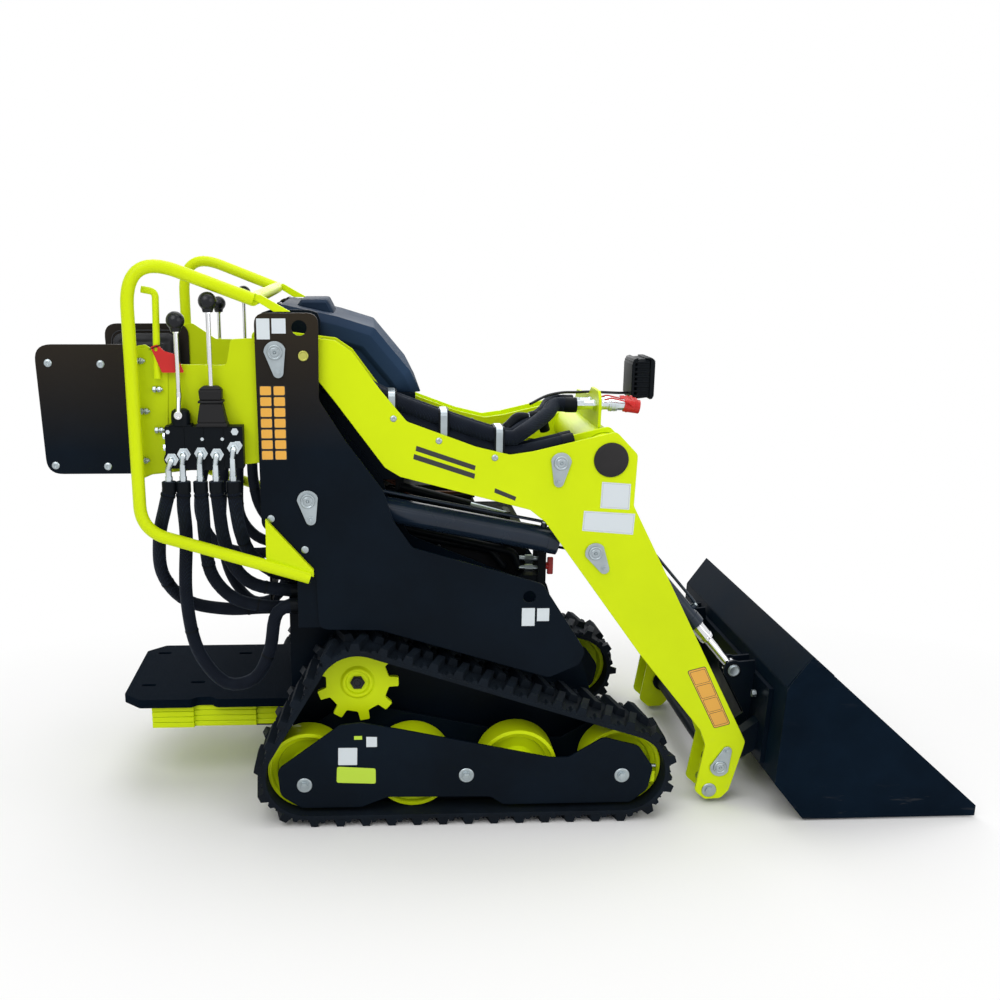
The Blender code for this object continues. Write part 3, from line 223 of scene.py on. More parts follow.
class Finish(Nodes):
    """A material round a Principled BSDF."""

    def __init__(self, name, roughness=0.5, metallic=0.0, coat=0.0, gloss=0.5):
        self.material = bpy.data.materials.new(name)
        super().__init__(self.material)
        self.bsdf = self.tree.nodes["Principled BSDF"]
        self.set(Roughness=roughness, Metallic=metallic, Coat_Weight=coat, Specular_IOR_Level=gloss)

    def set(self, **sockets):
        """Link or set sockets of the BSDF, named with underscores."""
        for key, value in sockets.items():
            self.feed(self.bsdf.inputs[key.replace("_", " ")], value)

    def bump(self, height, strength, distance):
        made = self.node("Bump", None, {"Height": height, "Strength": strength, "Distance": distance})
        self.set(Normal=Value(self, made.outputs["Normal"]))


def scaled(rgb, factor):
    return tuple(min(1.0, c * factor) for c in rgb)


# Finishes

def bright_paint(name="bright_paint", level=1.0):
    """Glossy yellow-green paint with faint orange peel and a little dust low down. A level below 1 darkens
    it, as painted shade.
    """
    net = Finish(name, gloss=0.14)
    base = scaled(colour("paint"), level)
    cloud = net.span(net.noise(2.5, 4), 0.35, 0.68)
    tone = net.mix(cloud, scaled(base, 0.95), scaled(base, 1.04))
    low = 1 - net.span(net.along("Z"), 0.0, 0.35)
    dust = net.span(net.noise(38, 5, 0.7), 0.55, 0.8) * low * 0.16
    worn = net.edges(0.0015) * net.span(net.noise(90, 4, 0.7), 0.60, 0.72) * 0.30
    tone = net.mix(worn, net.mix(dust, tone, (0.30, 0.27, 0.20)), (0.40, 0.42, 0.10))
    rough = 0.36 + net.span(net.noise(9, 4), 0.4, 0.75) * 0.10 + dust * 0.4
    net.set(Base_Color=tone, Roughness=rough)
    net.bump(net.noise(420, 2), 0.05, 0.0006)
    return net.material


def black_coat(name="black_coat", base=None, rough=0.40, bump=0.10, gloss=0.08, warm=False):
    """Satin black coat. The towers' is brownish near the top."""
    net = Finish(name, gloss=gloss)
    base = base or colour("black")
    cloud = net.span(net.noise(3.5, 5, 0.6), 0.38, 0.7)
    tone = net.mix(cloud, base, scaled(base, 1.7))
    if warm:
        tone = net.mix(net.span(net.along("Z"), 1.00, 1.36), tone, (0.030, 0.023, 0.015))
    speck = net.span(net.noise(150, 3, 0.8), 0.68, 0.76) * 0.25
    worn = net.edges(0.0012) * net.span(net.noise(70, 4, 0.7), 0.58, 0.7) * 0.35
    tone = net.mix(worn, net.mix(speck, tone, (0.05, 0.05, 0.05)), (0.09, 0.085, 0.08))
    net.set(Base_Color=tone, Roughness=rough + net.span(net.noise(6, 5), 0.35, 0.7) * 0.12 + speck * 0.2)
    net.bump(net.noise(520, 2), bump, 0.0006)
    return net.material


def textured_black():
    """Powder coat with a raised grain."""
    net = Finish("grained_black", gloss=0.015)
    base = (0.0021, 0.0050, 0.0096)
    grain = net.cells(420)
    net.set(Base_Color=net.mix(net.span(grain, 0.1, 0.6), scaled(base, 2.2), base),
            Roughness=0.56 + net.span(grain, 0.0, 0.6) * 0.2)
    net.bump(grain, 0.35, 0.001)
    return net.material


def bucket_coat():
    """Blue-black coat with scuffs near the floor."""
    net = Finish("bucket_coat", gloss=0.02)
    base = (0.0020, 0.0056, 0.0115)
    cloud = net.span(net.noise(3, 6, 0.62), 0.35, 0.7)
    tone = net.mix(cloud, base, scaled(base, 1.9))
    streak = net.noise(60, 3, 0.7, net.place((0.15, 1, 1)))
    scuff = net.span(streak, 0.62, 0.72) * net.span(net.along("Z"), 0.0, 0.12, 0.4, 0.04)
    worn = net.edges(0.0015) * net.span(net.noise(60, 4, 0.7), 0.55, 0.68) * 0.5
    tone = net.mix(worn, net.mix(scuff, tone, (0.08, 0.08, 0.08)), (0.12, 0.12, 0.12))
    net.set(Base_Color=tone, Roughness=0.42 + cloud * 0.14)
    net.bump(net.noise(300, 3), 0.08, 0.0008)
    return net.material


def hood_finish():
    """Blue-black moulded plastic with a fine pebble grain, tinted bluer toward the front slope as a painted
    reflection of the sky.
    """
    net = Finish("hood_plastic", gloss=0.04)
    # Painted reflection: the front slope turns bluer, standing in for the sky that it reflects.
    front = net.span(net.along("X"), -0.60, -0.30)
    cloud = net.span(net.noise(5, 3), 0.35, 0.7)
    tone = net.mix(front, (0.0100, 0.0185, 0.0370), (0.0210, 0.0470, 0.0950))
    tone = net.mix(cloud * 0.35, tone, (0.0240, 0.0420, 0.0720))
    grain = net.noise(700, 2)
    net.set(Base_Color=tone, Roughness=0.50 + cloud * 0.10 + grain * 0.04)
    net.bump(grain, 0.12, 0.0005)
    return net.material


def rubber_finish():
    """Dusty track rubber."""
    net = Finish("track_rubber", gloss=0.10)
    base = colour("rubber")
    cloud = net.span(net.noise(14, 5, 0.65), 0.35, 0.7)
    tone = net.mix(cloud, base, scaled(base, 1.9))
    dust = net.span(net.noise(70, 4, 0.7), 0.6, 0.8) * 0.08
    net.set(Base_Color=net.mix(dust, tone, (0.09, 0.085, 0.075)), Roughness=0.60 + cloud * 0.16)
    net.bump(net.noise(260, 4, 0.7), 0.18, 0.0008)
    return net.material


def sleeve_finish():
    """Woven nylon sleeve over the hoses."""
    net = Finish("woven_sleeve", gloss=0.10)
    one = net.wave(95, net.place((1, 1, 0.75)), "DIAGONAL")
    two = net.wave(95, net.place((-1, 1, 0.75)), "DIAGONAL")
    weave = one * two
    # Random folds; the lighter tone on the raised folds is partly a painted highlight.
    fold_highlight = net.span(net.noise(26, 3), 0.35, 0.7)
    thread_with_highlight = net.mix(fold_highlight, (0.0030, 0.0062, 0.0140), (0.0115, 0.0190, 0.0340))
    net.set(Base_Color=net.mix(weave, (0.0015, 0.0028, 0.0065), thread_with_highlight), Roughness=0.66 + weave * 0.15)
    net.set(Sheen_Weight=0.07, Sheen_Tint=(0.55, 0.72, 1.0, 1.0))
    net.bump(weave + fold_highlight * 0.8, 0.5, 0.0012)
    return net.material


def zinc_finish(name="zinc", base=(0.43, 0.49, 0.52), rough=0.27):
    """Brushed and plated steel."""
    net = Finish(name, metallic=1.0)
    cloud = net.span(net.noise(22, 4), 0.35, 0.7)
    brush = net.noise(240, 2, 0.5, net.place((1, 1, 0.08)))
    net.set(Base_Color=net.mix(cloud, base, scaled(base, 0.78)),
            Roughness=rough + cloud * 0.12 + brush * 0.08)
    net.bump(brush, 0.06, 0.0004)
    return net.material


def chrome_finish():
    """Polished rods and levers."""
    net = Finish("chrome", metallic=1.0)
    streak = net.noise(30, 3, 0.5, net.place((1, 1, 0.2)))
    net.set(Base_Color=net.mix(streak, (0.78, 0.79, 0.81), (0.68, 0.69, 0.71)),
            Roughness=0.08 + streak * 0.08)
    return net.material


def vinyl_finish():
    """Pad vinyl: fine leather grain."""
    net = Finish("pad_vinyl", gloss=0.25)
    grain = net.cells(330, feature="DISTANCE_TO_EDGE")
    cloud = net.span(net.noise(8, 4), 0.35, 0.7)
    net.set(Base_Color=net.mix(cloud, (0.006, 0.007, 0.009), (0.014, 0.015, 0.018)),
            Roughness=0.36 + cloud * 0.14)
    net.bump(net.span(grain, 0.0, 0.12), 0.25, 0.0008)
    return net.material


def plastic_finish(name, base, rough, coat=0.0, gloss=0.30):
    """Moulded plastic with a fine grain."""
    net = Finish(name, coat=coat, gloss=gloss)
    cloud = net.span(net.noise(12, 3), 0.35, 0.7)
    grain = net.noise(620, 2)
    net.set(Base_Color=net.mix(cloud, base, scaled(base, 1.2)), Roughness=rough + cloud * 0.08 + grain * 0.04)
    net.bump(grain, 0.10, 0.0005)
    return net.material


def sticker_finish(name, base, line):
    """A blank printed sticker with faint wear."""
    net = Finish(name, coat=0.2)
    wear = net.span(net.noise(60, 4, 0.7), 0.66, 0.78) * 0.3
    net.set(Base_Color=net.mix(wear, base, line), Roughness=0.34 + wear * 0.4)
    return net.material


def lens_finish():
    """The lamp's pale lens with level ribs."""
    net = Finish("lamp_lens", roughness=0.08, coat=0.5)
    ribs = net.wave(60, net.place(), "Z")
    net.set(Base_Color=net.mix(ribs, (0.55, 0.57, 0.60), (0.82, 0.84, 0.86)))
    net.bump(ribs, 0.4, 0.001)
    return net.material


FINISHES = {}


def make_finishes():
    FINISHES.update(
        # paint and coats
        # panel is the bright paint darkened to 0.84: painted shade for the side panels, which stand in shade
        paint=bright_paint(), panel=bright_paint("panel_paint", 0.84), black=black_coat(),
        grained=textured_black(), bucket=bucket_coat(),
        plate=black_coat("plate_black", (0.0016, 0.0044, 0.0088), rough=0.36, bump=0.06, gloss=0.07),
        tower=black_coat("tower_black", (0.0016, 0.0042, 0.0082), rough=0.34, bump=0.06, gloss=0.07,
                         warm=True),
        engine=black_coat("engine_black", (0.004, 0.0045, 0.006), rough=0.5, bump=0.2, gloss=0.12),
        barrel=black_coat("barrel_black", (0.0075, 0.0145, 0.0270), rough=0.20, bump=0.03, gloss=0.30),
        # metal
        zinc=zinc_finish(), chrome=chrome_finish(),
        steel=zinc_finish("bright_zinc", (0.66, 0.73, 0.77), rough=0.14),
        dull=zinc_finish("dull_steel", (0.30, 0.30, 0.30), rough=0.42),
        brass=zinc_finish("plug_brass", (0.50, 0.50, 0.12), rough=0.38),
        # rubber, cloth and plastic
        rubber=rubber_finish(), sleeve=sleeve_finish(), vinyl=vinyl_finish(), hood=hood_finish(),
        lens=lens_finish(),
        knob=plastic_finish("knob_plastic", (0.004, 0.005, 0.008), rough=0.22),
        cap=plastic_finish("cap_plastic", (0.022, 0.021, 0.022), rough=0.5, gloss=0.15),
        red=plastic_finish("red_plastic", (0.52, 0.012, 0.010), rough=0.3, coat=0.2),
        wire=plastic_finish("wire_brown", (0.10, 0.030, 0.012), rough=0.4),
        boot=plastic_finish("boot_rubber", (0.006, 0.006, 0.007), rough=0.55, gloss=0.25),
        # stickers
        white=sticker_finish("white_sticker", (0.66, 0.72, 0.76), (0.50, 0.55, 0.60)),
        orange=sticker_finish("orange_sticker", colour("warning"), (0.60, 0.28, 0.04)),
        ink=sticker_finish("black_sticker", (0.012, 0.012, 0.012), (0.03, 0.03, 0.03)),
        grey=sticker_finish("grey_line", (0.35, 0.35, 0.36), (0.5, 0.5, 0.5)),
        lime=sticker_finish("lime_sticker", (0.50, 0.72, 0.03), (0.35, 0.45, 0.10)))


# Mesh builders: each adds a form to a mesh under construction

def add_box(bm, x, y, z, slot=0):
    made = bmesh.ops.create_cube(bm, size=1.0)["verts"]
    lows, sizes = zip(*[(lo, hi - lo) for lo, hi in (x, y, z)])
    for v in made:
        v.co = Vector([lo + (c + 0.5) * s for lo, c, s in zip(lows, v.co, sizes)])
    mark(made, slot)


def mark(verts, slot):
    for face in {f for v in verts for f in v.link_faces}:
        face.material_index = slot


def skin(bm, rings, slot=0, ends=True):
    """Faces over rings of vertices, one ring to the next. A ring may be a single vertex."""
    faces = [bm.faces.new(rings[0]), bm.faces.new(rings[-1])] if ends else []
    for one, two in zip(rings, rings[1:]):
        for k in range(max(len(one), len(two))):
            corners = (one[k % len(one)], one[(k + 1) % len(one)],
                       two[(k + 1) % len(two)], two[k % len(two)])
            faces.append(bm.faces.new(once(corners)))
    for face in faces:
        face.material_index = slot


def circle(sides):
    """Cosine and sine at even steps round a circle."""
    return [(math.cos(a), math.sin(a)) for a in (2 * math.pi * k / sides for k in range(sides))]


def add_rod(bm, start, end, radius, sides=24, slot=0, radius_end=None):
    a, b = Vector(start), Vector(end)
    turn = (b - a).to_track_quat("Z", "X").to_matrix().to_4x4()
    made = bmesh.ops.create_cone(bm, cap_ends=True, segments=sides, radius1=radius,
                                 radius2=radius if radius_end is None else radius_end,
                                 depth=(b - a).length, matrix=Matrix.Translation((a + b) / 2) @ turn)
    mark(made["verts"], slot)


def add_cross(bm, centre, y0, y1, radius, sides=24, slot=0):
    """A rod across the machine, along Y."""
    x, z = centre
    add_rod(bm, (x, y0, z), (x, y1, z), radius, sides, slot)


def add_ball(bm, centre, radius, slot=0, sides=24):
    made = bmesh.ops.create_uvsphere(bm, u_segments=sides, v_segments=sides // 2, radius=radius,
                                     matrix=Matrix.Translation(centre))
    mark(made["verts"], slot)


def once(items):
    """Each item once, in the order of its first use, so that every run gives the same mesh."""
    return list(dict.fromkeys(items))


def add_plate(bm, outline, y0, y1, holes=(), slot=0, flat=True):
    """A plate from its side view. A hole is (centre, radius) or a closed outline.

    A plate with holes that is bent afterwards isn't flat, and keeps its small faces.
    """
    loops = [list(outline)] + [list(h) if len(h) > 2 else arc(h[0], h[1], 0, 345, 24) for h in holes]
    edges = []
    for loop in loops:
        verts = [bm.verts.new((x, y0, z)) for x, z in loop]
        edges += [bm.edges.new((verts[i - 1], verts[i])) for i in range(len(verts))]
    if holes:
        before = set(bm.faces)
        bmesh.ops.triangle_fill(bm, use_beauty=True, edges=edges)
        faces = [f for f in bm.faces if f not in before]
        if flat:
            # Short edges are dissolved first, which leaves room for the rounding of the rim.
            inner = sorted(once(e for f in faces for e in f.edges), key=lambda e: e.calc_length())
            bmesh.ops.dissolve_limit(bm, angle_limit=0.01, edges=inner,
                                     verts=once(v for f in faces for v in f.verts))
            faces = [f for f in bm.faces if f not in before]
    else:
        faces = [bm.faces.new(verts)]
    out = bmesh.ops.extrude_face_region(bm, geom=faces)
    moved = [g for g in out["geom"] if isinstance(g, bmesh.types.BMVert)]
    bmesh.ops.translate(bm, vec=(0, y1 - y0, 0), verts=moved)
    mark(moved + [v for f in faces for v in f.verts], slot)


def add_card(bm, corners, y, slot):
    """A thin card on a face: side-view corners, on the outer side of y."""
    add_plate(bm, corners, y, y + 0.0004, slot=slot)


def add_turned(bm, profile, centre, y, steps=48, slot=0):
    """A solid turned about an axis along Y from (radius, offset) points, axis to axis."""
    skin(bm, [[bm.verts.new((centre[0] + r * c, y + offset, centre[1] + r * s))
               for c, s in circle(steps if r > 0 else 1)] for r, offset in profile], slot, ends=False)


def add_turned_up(bm, centre, profile, slot=0):
    """A solid turned about an upright axis through (x, y) from (radius, z) points, axis to axis."""
    skin(bm, [[bm.verts.new((centre[0] + r * c, centre[1] + r * s, z))
               for c, s in circle(32 if r > 0 else 1)] for r, z in profile], slot, ends=False)


def add_pipe(bm, points, radius, sides=16, slot=0):
    """A round bar along points, with flat ends."""
    points = [Vector(p) for p in points]
    across = (points[1] - points[0]).orthogonal().normalized()
    rings = []
    for i, point in enumerate(points):
        step = (points[min(i + 1, len(points) - 1)] - points[max(i - 1, 0)]).normalized()
        across = (across - step * across.dot(step)).normalized()
        up = step.cross(across)
        rings.append([bm.verts.new(point + radius * (c * across + s * up)) for c, s in circle(sides)])
    skin(bm, rings, slot)


def add_loft(bm, rings, slot=0):
    """A closed form through side views of the same count of points: (outline, y)."""
    skin(bm, [[bm.verts.new((x, y, z)) for x, z in outline] for outline, y in rings], slot)


def add_twin_loft(bm, rings):
    """A closed form that is the same on both sides of the middle, from its rings outwards."""
    add_loft(bm, [(outline, -y) for outline, y in reversed(rings)] + rings)


def add_frustum(bm, low, high, slot=0):
    """A block that tapers from one level rectangle to another: (x0, x1, y0, y1, z)."""
    skin(bm, [[bm.verts.new(v) for v in ((x0, y0, z), (x1, y0, z), (x1, y1, z), (x0, y1, z))]
              for x0, x1, y0, y1, z in (low, high)], slot)


def add_hex_x(bm, x0, x1, y, z, radius, slot=0):
    """A hex nut whose axis runs along X."""
    add_rod(bm, (x0, y, z), (x1, y, z), radius, 6, slot)


def add_pin_head(bm, centre, y, out, radius, height):
    """A pin's turned face: a rim, a shallow groove and a grease nipple."""
    face = [(radius, 0), (radius, height - 0.0012), (radius - 0.0012, height), (radius * 0.78, height),
            (radius * 0.74, height - 0.0012), (radius * 0.60, height - 0.0012), (radius * 0.56, height),
            (0.0042, height), (0.0038, height - 0.0014), (0.0030, height - 0.0014),
            (0.0027, height + 0.0012), (0, height + 0.0016)]
    add_turned(bm, [(0, 0)] + [(r, out * h) for r, h in face], centre, y, 32)


def add_bolt(bm, centre, y, out, width):
    """A hex bolt head and its washer on a face at y, standing out by the sign of out."""
    add_cross(bm, centre, y, y + out * 0.002, width * 0.85, 24)
    add_cross(bm, centre, y + out * 0.0015, y + out * width * 0.5, width * 0.55, 6)
    add_cross(bm, centre, y + out * width * 0.45, y + out * width * 0.6, width * 0.3, 12)


def piece(name, bm, finishes, body, bevel=0.0, replaces=(), smooth=40, mirror=False):
    """Turn a mesh under construction into a named piece that rides on a body."""
    if mirror:
        bmesh.ops.scale(bm, vec=(1, -1, 1), verts=bm.verts)
        bmesh.ops.reverse_faces(bm, faces=bm.faces)
    bmesh.ops.recalc_face_normals(bm, faces=bm.faces)
    mesh = bpy.data.meshes.new(name)
    bm.to_mesh(mesh)
    bm.free()
    for finish in finishes if isinstance(finishes, list) else [finishes]:
        mesh.materials.append(FINISHES[finish])
    return settle(bpy.data.objects.new(name, mesh), body, bevel, replaces, smooth)


def pair(name, bm, finishes, body, bevel=0.0, replaces=()):
    """A left piece and its mirrored right one. {} in a name stands for the side."""
    for side, side_name in SIDES:
        piece(name.format(side_name), bm.copy(), finishes, body, bevel,
              [node.format(side_name) for node in replaces], mirror=side < 0)
    bm.free()


def settle(obj, body, bevel=0.0, replaces=(), smooth=0):
    """Link a piece, round its edges, and say what it rides on and which nodes it replaces."""
    bpy.context.scene.collection.objects.link(obj)
    if bevel:
        step = obj.modifiers.new("edge", "BEVEL")
        step.width = bevel
        step.segments = 2
        step.limit_method = "ANGLE"
        step.angle_limit = math.radians(32)
        step.harden_normals = False
    if smooth:
        obj.data.shade_smooth()
        obj.data.set_sharp_from_angle(angle=math.radians(smooth))
    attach(obj, body)
    if replaces:
        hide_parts(*replaces)
    return obj


def tube(name, points, radius, finish, body, replaces=(), resolution=6):
    """A round tube along points, as a curve."""
    curve = bpy.data.curves.new(name, "CURVE")
    curve.dimensions = "3D"
    curve.bevel_depth = radius
    curve.bevel_resolution = resolution
    curve.use_fill_caps = True
    spline = curve.splines.new("POLY")
    spline.points.add(len(points) - 1)
    for point, place in zip(spline.points, points):
        point.co = (*place, 1)
    spline.use_smooth = True
    curve.materials.append(FINISHES[finish])
    return settle(bpy.data.objects.new(name, curve), body, replaces=replaces)


def refined(node, finish, body, bevel):
    """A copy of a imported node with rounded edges, in place of the node."""
    mesh = NODES[node].data.copy()
    bm = bmesh.new()
    bm.from_mesh(mesh)
    bmesh.ops.remove_doubles(bm, verts=bm.verts, dist=0.00001)
    bmesh.ops.dissolve_limit(bm, angle_limit=math.radians(1), verts=bm.verts, edges=bm.edges)
    bpy.data.meshes.remove(mesh)
    piece(node + "_fine", bm, finish, body, bevel, (node,))


# Outlines and routes

def arc(centre, radius, start, end, count):
    steps = [start + (end - start) * i / (count - 1) for i in range(count)]
    return [(centre[0] + radius * math.cos(math.radians(a)),
             centre[1] + radius * math.sin(math.radians(a))) for a in steps]


def turned(before, here, after, radius, share, count):
    """Points round a corner. The bend takes up at most a share of the sides next to it."""
    here = Vector(here)
    back, ahead = Vector(before) - here, Vector(after) - here
    reach = min(radius / math.tan(back.angle(ahead) / 2), share * back.length, share * ahead.length)
    p, q = here + back.normalized() * reach, here + ahead.normalized() * reach
    steps = [k / (count - 1) for k in range(count)]
    return [(1 - t) ** 2 * p + 2 * t * (1 - t) * here + t ** 2 * q for t in steps]


def rounded(corners, radius, count=6):
    """A closed outline with each corner rounded by up to the given radius."""
    around = zip(corners[-1:] + corners[:-1], corners, corners[1:] + corners[:1])
    return [tuple(v) for three in around for v in turned(*three, radius, 0.45, count)]


def bent_path(corners, radius, count=8):
    """A route in space with rounded bends."""
    bends = zip(corners, corners[1:], corners[2:])
    points = [v for three in bends for v in turned(*three, radius, 0.48, count)]
    return [Vector(corners[0])] + points + [Vector(corners[-1])]


def route_length(points):
    return sum((q - p).length for p, q in zip(points, points[1:]))


def point_along(points, distance):
    for p, q in zip(points, points[1:]):
        step = (q - p).length
        if distance <= step:
            return p.lerp(q, distance / step)
        distance -= step
    return points[-1]


def smooth_route(knots, spacing):
    """Points read at even steps along a smooth curve through the knots."""
    knots = [Vector(k) for k in knots]
    ends = [2 * knots[0] - knots[1]] + knots + [2 * knots[-1] - knots[-2]]
    fine = []
    for a, b, c, d in zip(ends, ends[1:], ends[2:], ends[3:]):
        for k in range(12):
            t = k / 12
            fine.append(0.5 * (2 * b + (c - a) * t + (2 * a - 5 * b + 4 * c - d) * t ** 2
                               + (3 * b - a - 3 * c + d) * t ** 3))
    fine.append(knots[-1])
    length = route_length(fine)
    count = max(4, round(length / spacing))
    return [point_along(fine, length * i / count) for i in range(count + 1)]


def inset(outline, distance):
    """A closed outline moved inwards by a distance, with mitred corners."""
    area = sum(a[0] * b[1] - b[0] * a[1] for a, b in zip(outline, outline[1:] + outline[:1]))
    sign = 1 if area > 0 else -1
    made = []
    for i, here in enumerate(outline):
        here = Vector(here)
        before = (here - Vector(outline[i - 1])).normalized()
        ahead = (Vector(outline[(i + 1) % len(outline)]) - here).normalized()
        one = Vector((-before.y, before.x)) * sign
        two = Vector((-ahead.y, ahead.x)) * sign
        mean = (one + two).normalized()
        made.append(tuple(here + mean * distance / max(0.3, mean.dot(one))))
    return made


def beside(points, distance):
    """A line moved to its left by a distance, with mitred corners."""
    moved = []
    for i, here in enumerate(points):
        normals = []
        for a, b in ((i - 1, i), (i, i + 1)):
            if 0 <= a and b < len(points):
                run = (Vector(points[b]) - Vector(points[a])).normalized()
                normals.append(Vector((-run.y, run.x)))
        mean = sum(normals, Vector((0, 0))).normalized()
        moved.append(tuple(Vector(here) + mean * distance / mean.dot(normals[0])))
    return moved


def height_at(line, x):
    """The height of a side-view line at x."""
    for (x0, z0), (x1, z1) in zip(line, line[1:]):
        if x0 <= x <= x1:
            return z0 + (z1 - z0) * (x - x0) / (x1 - x0)
    return line[-1][1]


def stretch(points, start, end):
    """The part of a route between two distances along it."""
    count = max(2, math.ceil((end - start) / 0.006))
    return [point_along(points, start + (end - start) * k / count) for k in range(count + 1)]


# The stage

def make_stage():
    """Floor, studio light and the camera at the photograph's place."""
    scene = bpy.context.scene
    camera = bpy.data.objects.new("camera", bpy.data.cameras.new("camera"))
    scene.collection.objects.link(camera)
    scene.camera = camera
    eye = (-0.4129, -3.2828, 1.5026)
    pitch, yaw, roll = 0.2582, 0.0470, 0.0030
    ahead = Vector((math.sin(yaw) * math.cos(pitch), math.cos(yaw) * math.cos(pitch), -math.sin(pitch)))
    right = Vector((math.cos(yaw), -math.sin(yaw), 0))
    up = right.cross(ahead)
    right, up = (right * math.cos(roll) + up * math.sin(roll), up * math.cos(roll) - right * math.sin(roll))
    turn = Matrix((right, up, -ahead)).transposed()
    camera.matrix_world = Matrix.Translation(eye) @ turn.to_4x4()
    camera.data.lens = 41.668
    camera.data.shift_x = 0.0778
    camera.data.shift_y = 0.0506
    camera.data.clip_end = 100
    make_floor()
    make_lights()
    scene.view_settings.view_transform = "Standard"


def make_floor():
    """A pale floor that keeps the shadow near the loader and is plain white further off."""
    bm = bmesh.new()
    bmesh.ops.create_grid(bm, x_segments=1, y_segments=1, size=60)
    mesh = bpy.data.meshes.new("floor")
    bm.to_mesh(mesh)
    bm.free()
    floor = bpy.data.objects.new("floor", mesh)
    net = Finish("floor_finish", roughness=0.9, gloss=0.1)
    net.set(Base_Color=(0.93, 0.93, 0.93, 1))
    radius = net.node("VectorMath", {"operation": "LENGTH"}, {0: net.place((0.62, 1, 1))})
    away = net.span(Value(net, radius.outputs["Value"]), 0.7, 1.5)
    white = net.node("Emission", None, {"Color": (1, 1, 1, 1), "Strength": 1.0})
    both = net.node("MixShader", None, {0: away * net.seen(), 1: Value(net, net.bsdf.outputs[0]),
                                        2: Value(net, white.outputs[0])})
    net.feed(net.tree.nodes["Material Output"].inputs["Surface"], Value(net, both.outputs[0]))
    mesh.materials.append(net.material)
    bpy.context.scene.collection.objects.link(floor)
    floor.location.z = -0.0005


def make_lights():
    """Soft boxes round the loader and a white studio that the finishes reflect."""
    table = (("key", (-2.2, -3.8, 4.4), (0, 0, 0.7), 3.4, 118),
             ("fill", (3.4, -3.6, 2.4), (0.2, 0, 0.6), 3.2, 52),
             ("top", (0.2, 0.6, 4.8), (0, 0, 0.6), 4.0, 96),
             ("back", (-0.5, 4.2, 3.0), (0, 0, 0.8), 3.0, 60))
    for name, spot, aim, width, power in table:
        lamp = bpy.data.lights.new(name, "AREA")
        lamp.size = width
        lamp.energy = power
        obj = bpy.data.objects.new(name, lamp)
        obj.location = spot
        obj.rotation_mode = "QUATERNION"
        obj.rotation_quaternion = (Vector(aim) - Vector(spot)).to_track_quat("-Z", "Y")
        bpy.context.scene.collection.objects.link(obj)
    world = bpy.data.worlds.new("studio")
    bpy.context.scene.world = world
    net = Nodes(world)
    ground = net.tree.nodes["Background"].inputs
    net.feed(ground["Strength"], net.span(net.seen(), 0.0, 1.0, 0.42, 1.0))
    net.feed(ground["Color"], (1, 1, 1, 1))


# Undercarriage

def track_samples(step):
    """The belt's inner line as (point, outward normal)."""
    circles = [(WHEEL_X[3], WHEEL_Z, 0.108), (*SPROCKET, 0.102), (WHEEL_X[0], WHEEL_Z, 0.108)]

    def tangent(one, two):
        dx, dz = two[0] - one[0], two[1] - one[1]
        return math.atan2(dz, dx) - math.pi / 2 + math.asin((one[2] - two[2]) / math.hypot(dx, dz))

    samples = []
    for i, here in enumerate(circles):
        first, last = tangent(circles[i - 1], here), tangent(here, circles[(i + 1) % 3])
        while last < first:
            last += 2 * math.pi
        count = math.ceil((last - first) / step)
        for k in range(count + 1):
            a = first + (last - first) * k / count
            normal = Vector((math.cos(a), math.sin(a)))
            samples.append((Vector(here[:2]) + here[2] * normal, normal))
    return samples


def loop_places(count, shift, offset):
    """Evenly spaced places at an offset from the belt's inner line: (point, normal, bend)."""
    samples = track_samples(math.radians(4))
    samples.append(samples[0])
    at = [0.0]
    for (p, _), (q, _) in zip(samples, samples[1:]):
        at.append(at[-1] + (q - p).length)
    places = []
    for k in range(count):
        distance = ((k + shift) * at[-1] / count) % at[-1]
        i = max(j for j in range(len(at) - 1) if at[j] <= distance)
        t = (distance - at[i]) / (at[i + 1] - at[i])
        turn = samples[i][1].angle(samples[i + 1][1])
        bend = 1 / ((at[i + 1] - at[i]) / turn + offset) if turn > 0.01 else 0
        normal = samples[i][1].lerp(samples[i + 1][1], t).normalized()
        places.append((samples[i][0].lerp(samples[i + 1][0], t) + normal * offset, normal, bend))
    return places


def add_lug_row(bm, y0, y1, skew, shift, count, length, tip, height):
    """A row of lugs across part of the belt, slanted by skew and sunk a little into it."""
    for place, normal, bend in loop_places(count, shift, BELT):
        run = Vector((normal.y, -normal.x))
        for v in bmesh.ops.create_cube(bm, size=1.0)["verts"]:
            top = v.co.z > 0
            along = v.co.x * (tip if top else length) + v.co.y * skew
            out = (height if top else -0.003) - bend * along ** 2 / 2
            across = v.co.y * (0.94 if top else 1.0)
            spot = place + run * along + normal * out
            v.co = (spot.x, (y0 + y1) / 2 + across * (y1 - y0), spot.y)


